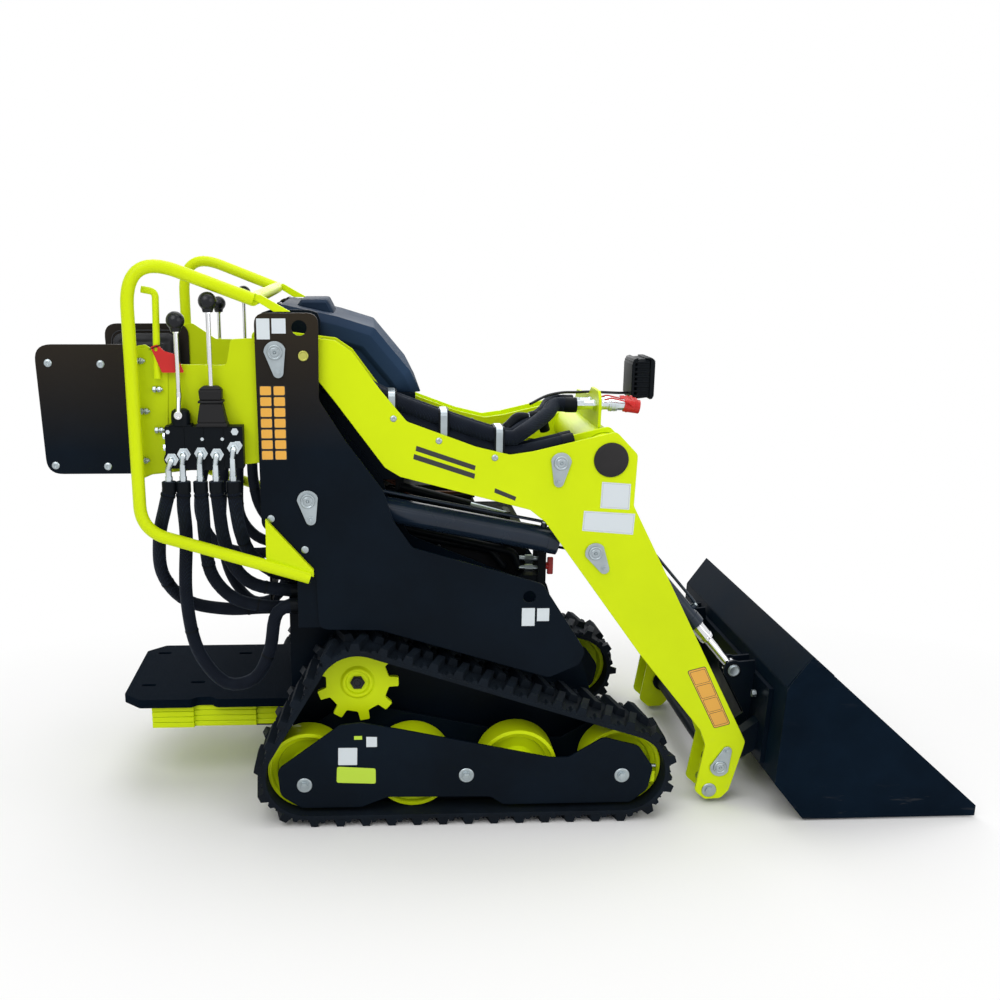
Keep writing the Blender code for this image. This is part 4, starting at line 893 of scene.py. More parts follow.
def make_track():
    """The belt with its groove and four rows of lugs, and small ribs along its edge."""
    y0, y1, mid, groove = 0.300, 0.480, 0.390, 0.011
    section = [(y0, 0.001), (y0 + 0.001, 0), (mid - groove, 0), (mid - groove, 0.009), (mid + groove, 0.009),
               (mid + groove, 0), (y1 - 0.001, 0), (y1, 0.001), (y1, 0.010), (y1 - 0.004, BELT),
               (y0 + 0.004, BELT), (y0, 0.010)]
    bm = bmesh.new()
    rings = []
    for point, normal in track_samples(math.radians(5)):
        spots = [(point + normal * out, y) for y, out in section]
        rings.append([bm.verts.new((spot.x, y, spot.y)) for spot, y in spots])
    skin(bm, rings + rings[:1], ends=False)
    add_lug_row(bm, y0 + 0.001, mid + 0.004, 0.026, 0.25, LUGS, 0.030, 0.019, 0.0195)
    add_lug_row(bm, mid - 0.004, y1 - 0.001, -0.026, 0.75, LUGS, 0.030, 0.019, 0.0195)
    add_lug_row(bm, y1 - 0.030, y1 - 0.0005, 0.0, 0.25, LUGS, 0.020, 0.010, 0.0075)
    add_lug_row(bm, y0 + 0.0005, y0 + 0.030, 0.0, 0.75, LUGS, 0.020, 0.010, 0.0075)
    add_lug_row(bm, y1 - 0.012, y1 - 0.0005, 0.0, 0.0, 4 * LUGS, 0.006, 0.003, 0.0022)
    pair("track_{}_fine", bm, "rubber", "chassis", 0.0012, ("track_{}",))


def make_wheels():
    """Road wheels and idlers: broad rims, and a web and hub sunk between them."""
    bm = bmesh.new()
    rim, half = 0.1065, 0.040
    section = [(0, -half), (0.030, -half), (0.032, -half + 0.002), (0.044, -0.012), (0.090, -0.012),
               (0.094, -half + 0.004), (0.096, -half), (rim - 0.001, -half), (rim, -half + 0.001),
               (rim, half - 0.001), (rim - 0.001, half), (0.097, half), (0.0955, half - 0.002),
               (0.094, half - 0.012), (0.082, half - 0.016), (0.078, 0.014), (0.050, 0.012),
               (0.046, 0.018), (0.034, half - 0.004), (0.031, half - 0.001), (0.029, half), (0, half)]
    for x in WHEEL_X:
        add_turned(bm, section, (x, WHEEL_Z), 0.390, 56)
    pair("road_wheels_{}", bm, "paint", "chassis", 0, ("track_frame_{}",))


def frame_plate():
    """Side view of a track frame's plate."""
    corners = [(-0.655, 0.085), (-0.662, 0.160), (-0.495, 0.284), (-0.440, 0.290),
               (-0.330, 0.268), (0.065, 0.182), (0.113, 0.182), (0.205, 0.238),
               (0.300, 0.212), (0.342, 0.150), (0.330, 0.085), (0.285, 0.048), (-0.060, 0.048),
               (-0.096, 0.072), (-0.370, 0.076), (-0.440, 0.048), (-0.600, 0.048)]
    return rounded(corners, 0.030, 6)


def make_track_frame():
    """Side plates, axles, spacers and bolts of a track frame."""
    bm = bmesh.new()
    add_plate(bm, frame_plate(), 0.452, 0.460)
    add_plate(bm, frame_plate(), 0.322, 0.330)
    for x in WHEEL_X:
        add_cross(bm, (x, WHEEL_Z), 0.329, 0.352, 0.012)
        add_cross(bm, (x, WHEEL_Z), 0.428, 0.453, 0.012)
    add_cross(bm, (-0.1605, WHEEL_Z), 0.329, 0.453, 0.016)
    add_cross(bm, (-0.250, 0.205), 0.329, 0.453, 0.010)
    for x in (-0.400, 0.050):
        add_box(bm, (x - 0.035, x + 0.035), (0.2703, 0.324), (0.115, 0.175))
    pair("track_frame_{}_fine", bm, "plate", "chassis", size("edge"), ("track_frame_{}",))
    bm = bmesh.new()
    for spot in ((-0.591, 0.115), (-0.1605, 0.136), (0.258, 0.128)):
        washer = [(0, 0.460), (0.0205, 0.460), (0.0205, 0.4618), (0.019, 0.4632), (0.0, 0.4632)]
        add_turned(bm, washer, spot, 0.0, 40)
        add_cross(bm, spot, 0.463, 0.4665, 0.0125, 32)
        add_cross(bm, spot, 0.466, 0.4705, 0.0105, 6)
        add_cross(bm, spot, 0.4700, 0.4712, 0.0055, 20)
    pair("frame_bolts_{}", bm, "zinc", "chassis", 0.0005, ("track_frame_{}",))
    bm = bmesh.new()
    add_card(bm, rounded([(-0.500, 0.2205), (-0.450, 0.2200), (-0.451, 0.171), (-0.501, 0.1715)], 0.002, 3),
             0.4602, 0)
    add_card(bm, rounded([(-0.504, 0.167), (-0.402, 0.160), (-0.402, 0.116), (-0.506, 0.121)], 0.006, 4),
             0.4602, 1)
    add_card(bm, [(-0.458, 0.2535), (-0.437, 0.2535), (-0.437, 0.2435), (-0.458, 0.2435)], 0.4602, 1)
    add_card(bm, [(-0.426, 0.251), (-0.398, 0.250), (-0.398, 0.222), (-0.426, 0.222)], 0.4602, 0)
    pair("frame_stickers_{}", bm, ["white", "lime"], "chassis", 0)


def make_tensioner():
    """Sliding yoke and tension screw at the front idler."""
    bm = bmesh.new()
    add_box(bm, (0.300, 0.350), (0.434, 0.4515), (0.102, 0.134))
    add_box(bm, (0.300, 0.312), (0.434, 0.4515), (0.130, 0.158))
    pair("tensioner_{}", bm, "paint", "chassis", 0.0015, ("track_frame_{}",))
    bm = bmesh.new()
    add_rod(bm, (0.270, 0.4435, 0.147), (0.352, 0.4435, 0.147), 0.0048, 16)
    for x, length, radius in ((0.312, 0.007, 0.0095), (0.322, 0.006, 0.0088)):
        add_hex_x(bm, x, x + length, 0.4435, 0.147, radius)
    pair("tension_screw_{}", bm, "zinc", "chassis", 0.0004, ("track_frame_{}",))


def sprocket_outline():
    """Side view of the sprocket: nine blunt teeth."""
    points = []
    for i in range(9):
        for share, radius in ((-0.30, 0.084), (-0.24, 0.086), (-0.17, 0.1085), (-0.12, 0.1095),
                              (0.12, 0.1095), (0.17, 0.1085), (0.24, 0.086), (0.30, 0.084)):
            a = (i + share) * 2 * math.pi / 9
            points.append((SPROCKET[0] + radius * math.cos(a), SPROCKET[1] + radius * math.sin(a)))
    return points


def make_sprocket():
    """The sprocket with its hub, motor housing and nut."""
    bm = bmesh.new()
    add_plate(bm, sprocket_outline(), 0.383, 0.397)
    ring = [(0, -0.02), (0.046, -0.02), (0.046, 0.0072), (0.0435, 0.0085), (0.0405, 0.0135), (0.038, 0.0148),
            (0.034, 0.0148), (0.0315, 0.0128), (0.0285, 0.0045), (0.026, 0.0035), (0, 0.0035)]
    add_turned(bm, ring, SPROCKET, 0.390, 48)
    add_cross(bm, SPROCKET, 0.2703, 0.372, 0.060, 40)
    pair("sprocket_{}_fine", bm, "paint", "chassis", 0.0008, ("sprocket_{}",))
    bm = bmesh.new()
    add_cross(bm, SPROCKET, 0.3930, 0.3965, 0.0250, 32, 0)
    add_cross(bm, SPROCKET, 0.3960, 0.4030, 0.0195, 6, 0)
    socket = [(0, 0.4035), (0.0075, 0.4035), (0.009, 0.4065), (0.0135, 0.4065), (0.015, 0.4050),
              (0.015, 0.4020), (0, 0.4020)]
    add_turned(bm, socket, SPROCKET, 0.0, 24, 1)
    pair("sprocket_nut_{}", bm, ["cap", "knob"], "chassis", 0.0005, ("sprocket_{}",))


# Towers and chassis

def tower_outline():
    """Side view of a tower's plate."""
    corners = [(-0.686, 0.812), (-0.689, 1.342), (-0.533, 1.342), (-0.535, 1.130), (-0.472, 1.029),
               (-0.377, 0.901), (-0.352, 0.822), (-0.303, 0.750), (0.038, 0.649), (0.157, 0.462),
               (0.140, 0.425), (0.060, 0.390), (-0.387, 0.528), (-0.546, 0.532), (-0.551, 0.678)]
    return rounded(corners, 0.028, 6)


def add_flag_pin(bm, centre, angle, y, out, thick, height=0.006):
    """A pin's head with its drop-shaped retaining plate and bolt."""
    small = (centre[0] + 0.050 * math.cos(math.radians(angle)),
             centre[1] + 0.050 * math.sin(math.radians(angle)))
    drop = arc(centre, 0.027, angle + 100, angle + 260, 20) + arc(small, 0.013, angle - 80, angle + 80, 12)
    add_plate(bm, drop, y, y + out * thick)
    add_pin_head(bm, centre, y, out, 0.0185, thick + height)
    add_bolt(bm, small, y + out * thick, out, size("bolt"))


def make_tower():
    """Tower plates with their stays, pins, screws and a plug."""
    bm = bmesh.new()
    y0, y1 = 0.400, 0.410
    add_plate(bm, tower_outline(), y0, y1, [((-0.580, 1.306), 0.019), ((0.003, 0.615), 0.0165)])
    add_box(bm, (-0.685, -0.677), (0.2703, y0 + 0.001), (0.850, 0.925))
    add_box(bm, (-0.685, -0.677), (0.2703, 0.3937), (0.923, 1.160))
    add_box(bm, (-0.300, -0.020), (0.2703, y0 + 0.001), (0.585, 0.600))
    add_box(bm, (-0.600, -0.530), (0.2703, y0 + 0.001), (0.535, 0.675))
    for centre in (PIVOT, LIFT_BASE):
        add_cross(bm, centre, 0.258, y0 + 0.001, 0.0175, 32)
    pair("tower_{}_fine", bm, "tower", "chassis", size("edge"), ("tower_{}",))
    bm = bmesh.new()
    add_flag_pin(bm, PIVOT, -82, y1, 1, 0.006)
    add_flag_pin(bm, LIFT_BASE, -82, y1, 1, 0.006)
    for spot in ((-0.662, 0.830), (-0.578, 0.748)):
        add_turned(bm, [(0, 0.0028), (0.0055, 0.0028), (0.0095, 0.0012), (0.0098, 0)], spot, y1, 28)
    pair("tower_pins_{}", bm, "zinc", "chassis", 0.0005, ("tower_{}",))
    bm = bmesh.new()
    add_turned(bm, [(0, 0.0016), (0.0085, 0.0016), (0.0092, 0.0030), (0.0120, 0.0030), (0.0130, 0.0015),
                    (0.0130, 0)], (-0.571, 1.239), y1, 32)
    pair("tower_plug_{}", bm, "brass", "chassis", 0.0004)
    make_tower_stickers()


def make_tower_stickers():
    """Blank white cards, and a grid of blank orange cells."""
    bm = bmesh.new()
    y = 0.4102
    for x0, x1, z0, z1 in ((-0.683, -0.651, 1.279, 1.329), (-0.646, -0.612, 1.293, 1.329),
                           (-0.016, 0.018, 0.536, 0.585), (0.024, 0.056, 0.549, 0.584)):
        add_card(bm, [(x0, z0), (x1, z0), (x1, z1), (x0, z1)], y, 0)
    for row in range(7):
        for x in (-0.6805, -0.6470):
            z = 0.981 + 0.0268 * row
            add_card(bm, [(x, z), (x + 0.0300, z), (x + 0.0300, z + 0.0245), (x, z + 0.0245)], y, 2)
            inner = rounded([(x + 0.0015, z + 0.0015), (x + 0.0285, z + 0.0015), (x + 0.0285, z + 0.0230),
                             (x + 0.0015, z + 0.0230)], 0.003, 3)
            add_card(bm, inner, y + 0.0003, 1)
    pair("tower_stickers_{}", bm, ["white", "orange", "ink"], "chassis", 0)


def make_engine():
    """Engine block with its cover, cooling fins and round covers, all inside the bay."""
    bm = bmesh.new()
    add_box(bm, (-0.500, 0.020), (-0.190, 0.190), (0.3803, 0.740))
    add_box(bm, (-0.490, 0.010), (-0.195, 0.195), (0.470, 0.500))
    for k in range(5):
        z = 0.745 + 0.020 * k
        add_box(bm, (-0.470, -0.120), (-0.150, 0.150), (z, z + 0.010))
    add_box(bm, (-0.460, -0.130), (-0.140, 0.140), (0.730, 0.860))
    for side in (-1, 1):
        for x in (-0.40, -0.25, -0.10):
            add_cross(bm, (x, 0.60), side * 0.185, side * 0.1955, 0.045, 40)
            add_cross(bm, (x, 0.60), side * 0.195, side * 0.1990, 0.018, 6)
    piece("engine_fine", bm, "engine", "chassis", 0.002, ("engine_block",))


def make_bay():
    """Pipes, a gas spring, wiring and the battery switch beside the engine."""
    bm = bmesh.new()
    for y, radius, corners in (
            (-0.215, 0.013, [(-0.450, 0.800), (-0.400, 0.868), (-0.369, 0.862), (-0.060, 0.780),
                             (-0.030, 0.730)]),
            (-0.232, 0.011, [(-0.380, 0.720), (-0.350, 0.776), (-0.303, 0.757), (-0.020, 0.690),
                             (0.000, 0.640)]),
            (-0.212, 0.010, [(-0.360, 0.700), (-0.300, 0.735), (-0.080, 0.690), (-0.040, 0.640)])):
        (x0, z0), (x1, z1) = corners[0], corners[-1]
        route = [(x0, -0.185, z0), *((x, y, z) for x, z in corners), (x1, -0.185, z1)]
        add_pipe(bm, bent_path(route, 0.030, 6), radius, 20, 0)
    add_rod(bm, (-0.330, -0.240, 0.878), (-0.141, -0.240, 0.826), 0.0115, 24, 0)
    add_box(bm, (-0.342, -0.320), (-0.246, -0.234), (0.868, 0.904), 0)
    add_box(bm, (-0.048, -0.032), (-0.248, -0.185), (0.730, 0.806), 0)
    add_box(bm, (0.046, 0.068), (-0.256, -0.150), (0.520, 0.712), 0)
    add_box(bm, (-0.006, 0.046), (-0.250, -0.185), (0.520, 0.628), 0)
    add_rod(bm, (-0.141, -0.240, 0.826), (-0.040, -0.240, 0.798), 0.0075, 20, 1)
    for z in (0.672, 0.645):
        add_rod(bm, (-0.004, -0.238, z + 0.003), (0.046, -0.238, z), 0.006, 16, 1)
        add_hex_x(bm, 0.012, 0.034, -0.238, z + 0.001, 0.011, 1)
    add_cross(bm, (-0.222, 0.697), -0.250, -0.262, 0.010, 6, 1)
    add_cross(bm, (-0.222, 0.697), -0.185, -0.252, 0.006, 16, 1)
    for k in range(3):
        route = [(-0.400, -0.200, 0.905), (-0.345, -0.222 - 0.006 * k, 0.890 - 0.004 * k),
                 (-0.300, -0.225, 0.866 - 0.008 * k), (-0.235, -0.222 + 0.004 * k, 0.858 - 0.006 * k),
                 (-0.150, -0.190, 0.850)]
        add_pipe(bm, smooth_route(route, 0.012), 0.0026, 10, 3)
    piece("bay_fittings", bm, ["black", "zinc", "red", "wire"], "chassis", 0.0008)
    bm = bmesh.new()
    add_rod(bm, (0.067, -0.238, 0.652), (0.078, -0.238, 0.652), 0.010, 24, 0)
    add_box(bm, (0.074, 0.090), (-0.243, -0.233), (0.628, 0.676), 0)
    piece("battery_switch", bm, "red", "chassis", 0.0025)


def make_towers():
    """The towers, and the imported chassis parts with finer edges."""
    make_tower()
    refined("chassis_frame", "plate", "chassis", size("edge"))
    refined("engine_cowl", "plate", "chassis", 0.0008)
    refined("rear_panel", "black", "chassis", 0.0015)


# Operator's station

def guard_route():
    """The left guard loop, from its top rear corner down to the tower."""
    return bent_path([(-0.690, 0.404, 1.374), (-0.9835, 0.447, 1.4865), (-0.981, 0.450, 0.811),
                      (-0.566, 0.4263, 0.678)], 0.090, 16)


def make_guard():
    """Both guard loops, the bar between them and their brackets."""
    for side, name in SIDES:
        points = [(p.x, side * p.y, p.z) for p in guard_route()]
        tube(f"guard_tube_{name}", points, 0.016, "paint", "chassis", ("guard_frame",), 8)
    bm = bmesh.new()
    add_cross(bm, (-0.690, 1.374), -0.404, 0.404, 0.016, 32)
    for side in (-1, 1):
        y = sorted((side * 0.4103, side * 0.4283))
        add_plate(bm, [(-0.675, 0.832), (-0.556, 0.697), (-0.556, 0.680), (-0.676, 0.716)], *y)
        y = sorted((side * 0.398, side * 0.410))
        add_plate(bm, [(-0.698, 1.380), (-0.672, 1.386), (-0.600, 1.345), (-0.640, 1.345)], *y)
    piece("guard_cross_fine", bm, "paint", "chassis", size("edge"), ("guard_frame",))


def make_side_panel():
    """Side panels with a folded flange and their bolts."""
    corners = [(-0.992, 0.928), (-0.982, 1.262), (-0.955, 1.266), (-0.885, 1.218), (-0.760, 1.216),
               (-0.748, 1.279), (-0.690, 1.281), (-0.660, 1.270), (-0.660, 0.975), (-0.955, 0.944)]
    bm = bmesh.new()
    add_plate(bm, rounded(corners, 0.012, 4), 0.3937, 0.3997)
    flange = [(-0.988, 0.940), (-0.980, 1.255), (-0.957, 1.259), (-0.901, 1.222), (-0.915, 0.952)]
    add_plate(bm, rounded(flange, 0.006, 3), 0.3990, 0.4020)
    # The panels wear the darkened copy of the bright paint, a painted shade.
    pair("side_panel_{}_fine", bm, "panel", "chassis", 0.001, ("side_panel_{}",))
    bm = bmesh.new()
    for x, z in ((-0.969, 1.227), (-0.930, 1.158), (-0.964, 1.104), (-0.930, 1.057), (-0.971, 0.981)):
        add_rod(bm, (x - 0.012, 0.4075, z), (x + 0.013, 0.4075, z), 0.0035, 12)
        add_hex_x(bm, x - 0.010, x - 0.003, 0.4075, z, 0.0078)
        add_rod(bm, (x + 0.001, 0.4075, z), (x + 0.003, 0.4075, z), 0.0085, 20)
        add_hex_x(bm, x + 0.003, x + 0.009, 0.4075, z, 0.0072)
    pair("panel_bolts_{}", bm, "zinc", "chassis", 0.0004, ("side_panel_{}",))


def add_dome(bm, centre, y, radius):
    """A low round screw head with its socket."""
    profile = [(0, 0.0010), (radius * 0.32, 0.0010), (radius * 0.36, 0.0030), (radius * 0.62, 0.0030),
               (radius * 0.88, 0.0018), (radius, 0.0006), (radius, 0)]
    add_turned(bm, profile, centre, y, 28)


def make_hip_rest():
    """Hip plates with their screws, and the pads on them."""
    corners = [(-1.216, 0.945), (-1.226, 1.266), (-0.968, 1.266), (-0.968, 0.945)]
    bm = bmesh.new()
    add_plate(bm, rounded(corners, 0.040, 8), 0.3864, 0.3934)
    pair("hip_plate_{}_fine", bm, "tower", "chassis", 0.0012, ("hip_plate_{}",))
    bm = bmesh.new()
    for spot in ((-1.194, 1.221), (-1.067, 1.218), (-1.194, 0.967), (-1.065, 0.964)):
        add_dome(bm, spot, 0.3934, 0.0098)
    pair("hip_bolts_{}", bm, "zinc", "chassis", 0.0003, ("hip_plate_{}",))
    for side, name in SIDES:
        make_pad(side, name)


def swell(obj, cap, wall):
    """Blow a block up into a pad by cloth simulation. No point moves past cap, or through the wall."""
    even = obj.modifiers.new("even", "REMESH")
    even.mode = "VOXEL"
    even.voxel_size = 0.006
    bare = bpy.context.evaluated_depsgraph_get()
    mesh = bpy.data.meshes.new_from_object(obj.evaluated_get(bare))
    obj.modifiers.clear()
    obj.data = mesh
    start = [v.co.copy() for v in mesh.vertices]
    cloth = obj.modifiers.new("swell", "CLOTH")
    cloth.settings.use_pressure = True
    cloth.settings.uniform_pressure_force = 4
    cloth.settings.effector_weights.gravity = 0
    scene = bpy.context.scene
    for k in range(1, 21):
        scene.frame_set(k)
    blown = bpy.data.meshes.new_from_object(obj.evaluated_get(bpy.context.evaluated_depsgraph_get()))
    obj.modifiers.remove(cloth)
    scene.frame_set(1)
    for v, old, new in zip(mesh.vertices, start, blown.vertices):
        move = new.co - old
        v.co = old + move * min(1, cap / max(move.length, 1e-9))
        if abs(v.co.y) > wall:
            v.co.y = math.copysign(wall, v.co.y)
    bpy.data.meshes.remove(blown)


def gap_to(here, start, end):
    """How far a point is from the stretch between two others."""
    run = end - start
    along = max(0.0, min(1.0, (here - start).dot(run) / run.length_squared))
    return (here - start - run * along).length


def sew(obj, channel, face, depth):
    """Press a sewn channel along a closed side-view line into the pad's inner face."""
    loop = [Vector(p) for p in channel]
    sides = [(a, b) for a, b in zip(loop, loop[1:] + loop[:1]) if (b - a).length > 1e-5]
    for v in obj.data.vertices:
        if abs(v.co.y) > face:
            continue
        near = min(gap_to(Vector((v.co.x, v.co.z)), a, b) for a, b in sides)
        if near < 0.009:
            v.co.y += math.copysign(depth * (1 - near / 0.009) ** 2, v.co.y)


def make_pad(side, name):
    """A stuffed pad with its piping and a sewn channel."""
    corners = rounded([(-1.196, 0.977), (-1.196, 1.243), (-0.997, 1.243), (-0.997, 0.977)], 0.032, 8)
    bm = bmesh.new()
    add_plate(bm, corners, 0.3475, 0.3855)
    if side < 0:
        bmesh.ops.scale(bm, vec=(1, -1, 1), verts=bm.verts)
        bmesh.ops.reverse_faces(bm, faces=bm.faces)
    obj = piece(f"hip_pad_{name}_fine", bm, "vinyl", "chassis", 0, (f"hip_pad_{name}",), smooth=0)
    swell(obj, 0.005, 0.3857)
    obj.data.materials.clear()
    obj.data.materials.append(FINISHES["vinyl"])
    sew(obj, inset(corners, 0.030), 0.356, 0.004)
    finer = obj.modifiers.new("finer", "SUBSURF")
    finer.levels = 1
    finer.render_levels = 1
    obj.data.shade_smooth()
    seam = [(x, side * 0.3650, z) for x, z in inset(corners, -0.0028)]
    tube(f"hip_piping_{name}", seam + seam[:1], 0.0022, "vinyl", "chassis", (), 3)


def add_elbow(bm, x, port, slot):
    """A port's seat, nuts, bent pipe and ferrule, from the valve's face down to the hose."""
    px, pz = port
    add_cross(bm, port, 0.4385, 0.4412, 0.0198, 32, 0)
    for y0, y1, radius, sides in ((0.4390, 0.4465, 0.0168, 6), (0.4460, 0.4480, 0.0132, 28),
                                  (0.4475, 0.4535, 0.0122, 6)):
        add_cross(bm, port, y0, y1, radius, sides, slot)
    bend = [(px, 0.4480, pz), (px, 0.4580, pz - 0.001), (x, 0.4455, pz - 0.024), (x, 0.4440, 0.9355)]
    add_pipe(bm, bent_path(bend, 0.012, 6), 0.0078, 20, slot)
    add_rod(bm, (x, 0.4440, 0.947), (x, 0.4440, 0.9355), 0.0094, 24, slot)


def make_valve():
    """Valve block with its sections, caps, ports and elbows."""
    y0, y1 = 0.4003, 0.440
    bm = bmesh.new()
    for k in range(4):
        x = -0.9125 + 0.0478 * k
        low = 0.966 if k in (0, 3) else 0.962
        add_box(bm, (x, x + 0.0470), (y0, y1), (low, 1.070))
    add_box(bm, (-0.905, -0.735), (y0, y1 - 0.004), (0.968, 1.066))
    add_box(bm, (-0.902, -0.846), (y0 + 0.002, y1 - 0.002), (1.068, 1.074))
    add_turned_up(bm, (-0.874, 0.421), [(0.0, 1.072), (0.0235, 1.072), (0.0235, 1.096), (0.0215, 1.106),
                                        (0.0150, 1.1115), (0.0, 1.112)], 0)
    for spot, radius in (((-0.904, 1.058), 0.0055), ((-0.741, 1.058), 0.0095), ((-0.735, 1.024), 0.0120),
                         ((-0.821, 1.040), 0.0045), ((-0.772, 1.040), 0.0045), ((-0.906, 0.976), 0.0050)):
        add_cross(bm, spot, y1 - 0.002, y1 + 0.0045, radius, 6, 1)
        add_cross(bm, spot, y1 + 0.0040, y1 + 0.0055, radius * 0.55, 16, 1)
    for z in (1.045, 1.016):
        add_rod(bm, (-0.9135, 0.421, z), (-0.9195, 0.421, z), 0.0085, 6, 1)
    for x, port in ((-0.907, (-0.897, 0.990)), (-0.872, (-0.867, 1.003)), (-0.830, (-0.825, 1.005)),
                    (-0.791, (-0.786, 1.002)), (-0.749, (-0.744, 1.018))):
        add_elbow(bm, x, port, 1)
    pair("valve_{}_fine", bm, ["black", "steel"], "chassis", 0.0008, ("valve_{}",))
    for side, name in SIDES:
        make_levers(side, name)


def make_levers(side, name):
    """Two control levers: a plain one with its pivot eye, and one that stands in a rubber boot."""
    y = 0.422
    bm = bmesh.new()
    add_frustum(bm, (-0.836, -0.757, 0.4008, 0.4460, 1.069), (-0.832, -0.760, 0.4020, 0.4450, 1.080), 0)
    add_frustum(bm, (-0.832, -0.761, 0.4020, 0.4450, 1.079), (-0.824, -0.770, 0.4050, 0.4410, 1.127), 0)
    add_frustum(bm, (-0.829, -0.766, 0.4035, 0.4440, 1.127), (-0.828, -0.767, 0.4040, 0.4435, 1.134), 0)
    add_frustum(bm, (-0.824, -0.771, 0.4060, 0.4410, 1.134), (-0.826, -0.770, 0.4050, 0.4420, 1.160), 0)
    add_frustum(bm, (-0.826, -0.770, 0.4050, 0.4420, 1.160), (-0.816, -0.780, 0.4100, 0.4360, 1.168), 0)
    piece(f"lever_boot_{name}", bm, "boot", "chassis", 0.0035, (f"valve_{name}",), mirror=side < 0)
    bm = bmesh.new()
    add_turned(bm, [(0, 0.003), (0.0040, 0.003), (0.0045, 0.006), (0.0095, 0.006), (0.0105, 0.0045),
                    (0.0105, -0.006), (0, -0.006)], (-0.876, 1.099), 0.4445, 28, 0)
    add_rod(bm, (-0.876, 0.4420, 1.103), (-0.876, y, 1.140), 0.0062, 20, 0)
    for x, foot, top in ((-0.876, 1.132, 1.325), (-0.797, 1.150, 1.371 if side < 0 else 1.357)):
        add_rod(bm, (x, y, foot), (x, y, top), 0.0058, 24, 0)
        add_rod(bm, (x, y, foot), (x, y, foot + 0.020), 0.0068, 24, 0)
        add_rod(bm, (x, y, top - 0.030), (x, y, top - 0.022), 0.0080, 6, 0)
        add_ball(bm, (x, y, top), 0.0225, 1, 36)
        add_rod(bm, (x, y, top - 0.0265), (x, y, top - 0.016), 0.0120, 28, 1, 0.0150)
    piece(f"levers_{name}", bm, ["chrome", "knob"], "chassis", 0.0004, (f"valve_{name}",), mirror=side < 0)


def make_hook_rod():
    """The hook on the right panel, with the blank red tag that hangs on it by a tie."""
    y = -0.409
    points = bent_path([(-0.928, y, 1.185), (-0.922, y, 1.392), (-0.955, y, 1.398)], 0.016, 8)
    tube("hook_rod_fine", points, 0.0085, "paint", "chassis", ("hook_rod",), 6)
    bm = bmesh.new()
    outline = [(-0.939, 1.262), (-0.922, 1.268), (-0.906, 1.252), (-0.878, 1.243), (-0.861, 1.199),
               (-0.914, 1.200)]
    add_plate(bm, rounded(outline, 0.004, 4), -0.4206, -0.4196, [((-0.926, 1.256), 0.0045)], flat=False)
    for v in bm.verts:
        v.co.y += 0.006 * ((v.co.x + 0.925) / 0.06) ** 2
    piece("hook_tag", bm, "red", "chassis", 0)
    ring = [(-0.926 + 0.016 * math.cos(a), y - 0.0125 * math.sin(a) - 0.0005, 1.2620 + 0.006 * math.cos(a))
            for a in (2 * math.pi * k / 24 for k in range(25))]
    bm = bmesh.new()
    add_pipe(bm, ring, 0.0014, 8)
    piece("tag_tie", bm, "black", "chassis", 0)


def hose_knots():
    """Left-side hoses from the valve's elbows to the tower's manifold."""
    top_y, z, end = 0.444, 0.9347, -0.6003
    x1, x2, x3, x4, x5 = -0.907, -0.872, -0.830, -0.791, -0.749
    return [
        [(x1, top_y, z), (x1, top_y, z - 0.02), (x1 - 0.014, 0.434, 0.870), (x1 - 0.040, 0.395, 0.780),
         (-0.952, 0.350, 0.670), (-0.900, 0.310, 0.585), (-0.800, 0.294, 0.556),
         (-0.700, 0.294, 0.558), (end - 0.02, 0.294, 0.558), (end, 0.294, 0.558)],
        [(x2, top_y, z), (x2, top_y, z - 0.02), (x2 - 0.004, 0.434, 0.870), (x2 - 0.008, 0.392, 0.780),
         (-0.890, 0.376, 0.620), (-0.868, 0.372, 0.470), (-0.800, 0.370, 0.375),
         (-0.722, 0.370, 0.385), (-0.680, 0.371, 0.460), (-0.665, 0.372, 0.545),
         (-0.650, 0.372, 0.575), (end - 0.02, 0.372, 0.590), (end, 0.372, 0.590)],
        [(x3, top_y, z), (x3, top_y, z - 0.02), (x3 + 0.001, 0.434, 0.870), (x3 - 0.002, 0.396, 0.780),
         (-0.826, 0.350, 0.670), (-0.775, 0.335, 0.600), (-0.700, 0.334, 0.576),
         (end - 0.02, 0.334, 0.572), (end, 0.334, 0.572)],
        [(x4, top_y, z), (x4, top_y, z - 0.02), (x4 + 0.002, 0.434, 0.870), (x4 + 0.006, 0.396, 0.780),
         (-0.765, 0.366, 0.695), (-0.715, 0.345, 0.638), (end - 0.02, 0.334, 0.617),
         (end, 0.334, 0.617)],
        [(x5, top_y, z), (x5, top_y, z - 0.02), (x5 + 0.002, 0.434, 0.870), (x5 + 0.008, 0.394, 0.790),
         (-0.722, 0.345, 0.720), (-0.675, 0.305, 0.665), (end - 0.02, 0.294, 0.645),
         (end, 0.294, 0.645)],
    ]


def make_hoses():
    """Sleeved hoses from the valves to the manifolds, with their end bands and ties."""
    radius = size("hose") / 2
    for side, name in SIDES:
        bands = bmesh.new()
        for i, knots in enumerate(hose_knots(), 1):
            line = [Vector(knots[0])] + smooth_route(knots[1:-1], 0.02) + [Vector(knots[-1])]
            line = [Vector((p.x, side * p.y, p.z)) for p in line]
            hose = tube(f"hose_{name}_{i}_fine", line, radius, "sleeve", "chassis", (f"hose_{name}_{i}",), 8)
            length = route_length(line)
            2 * radius
            add_pipe(bands, stretch(line, 0.001, 0.026), radius + 0.0012, 28, 0)
            add_pipe(bands, stretch(line, 0.034, 0.038), radius + 0.0018, 28, 0)
            for share in (0.45, 0.80):
                add_pipe(bands, stretch(line, length * share, length * share + 0.005), radius + 0.0010, 24, 0)
            add_pipe(bands, stretch(line, length - 0.020, length - 0.001), radius + 0.0006, 28, 0)
        piece(f"hose_bands_{name}", bands, "black", "chassis", 0)


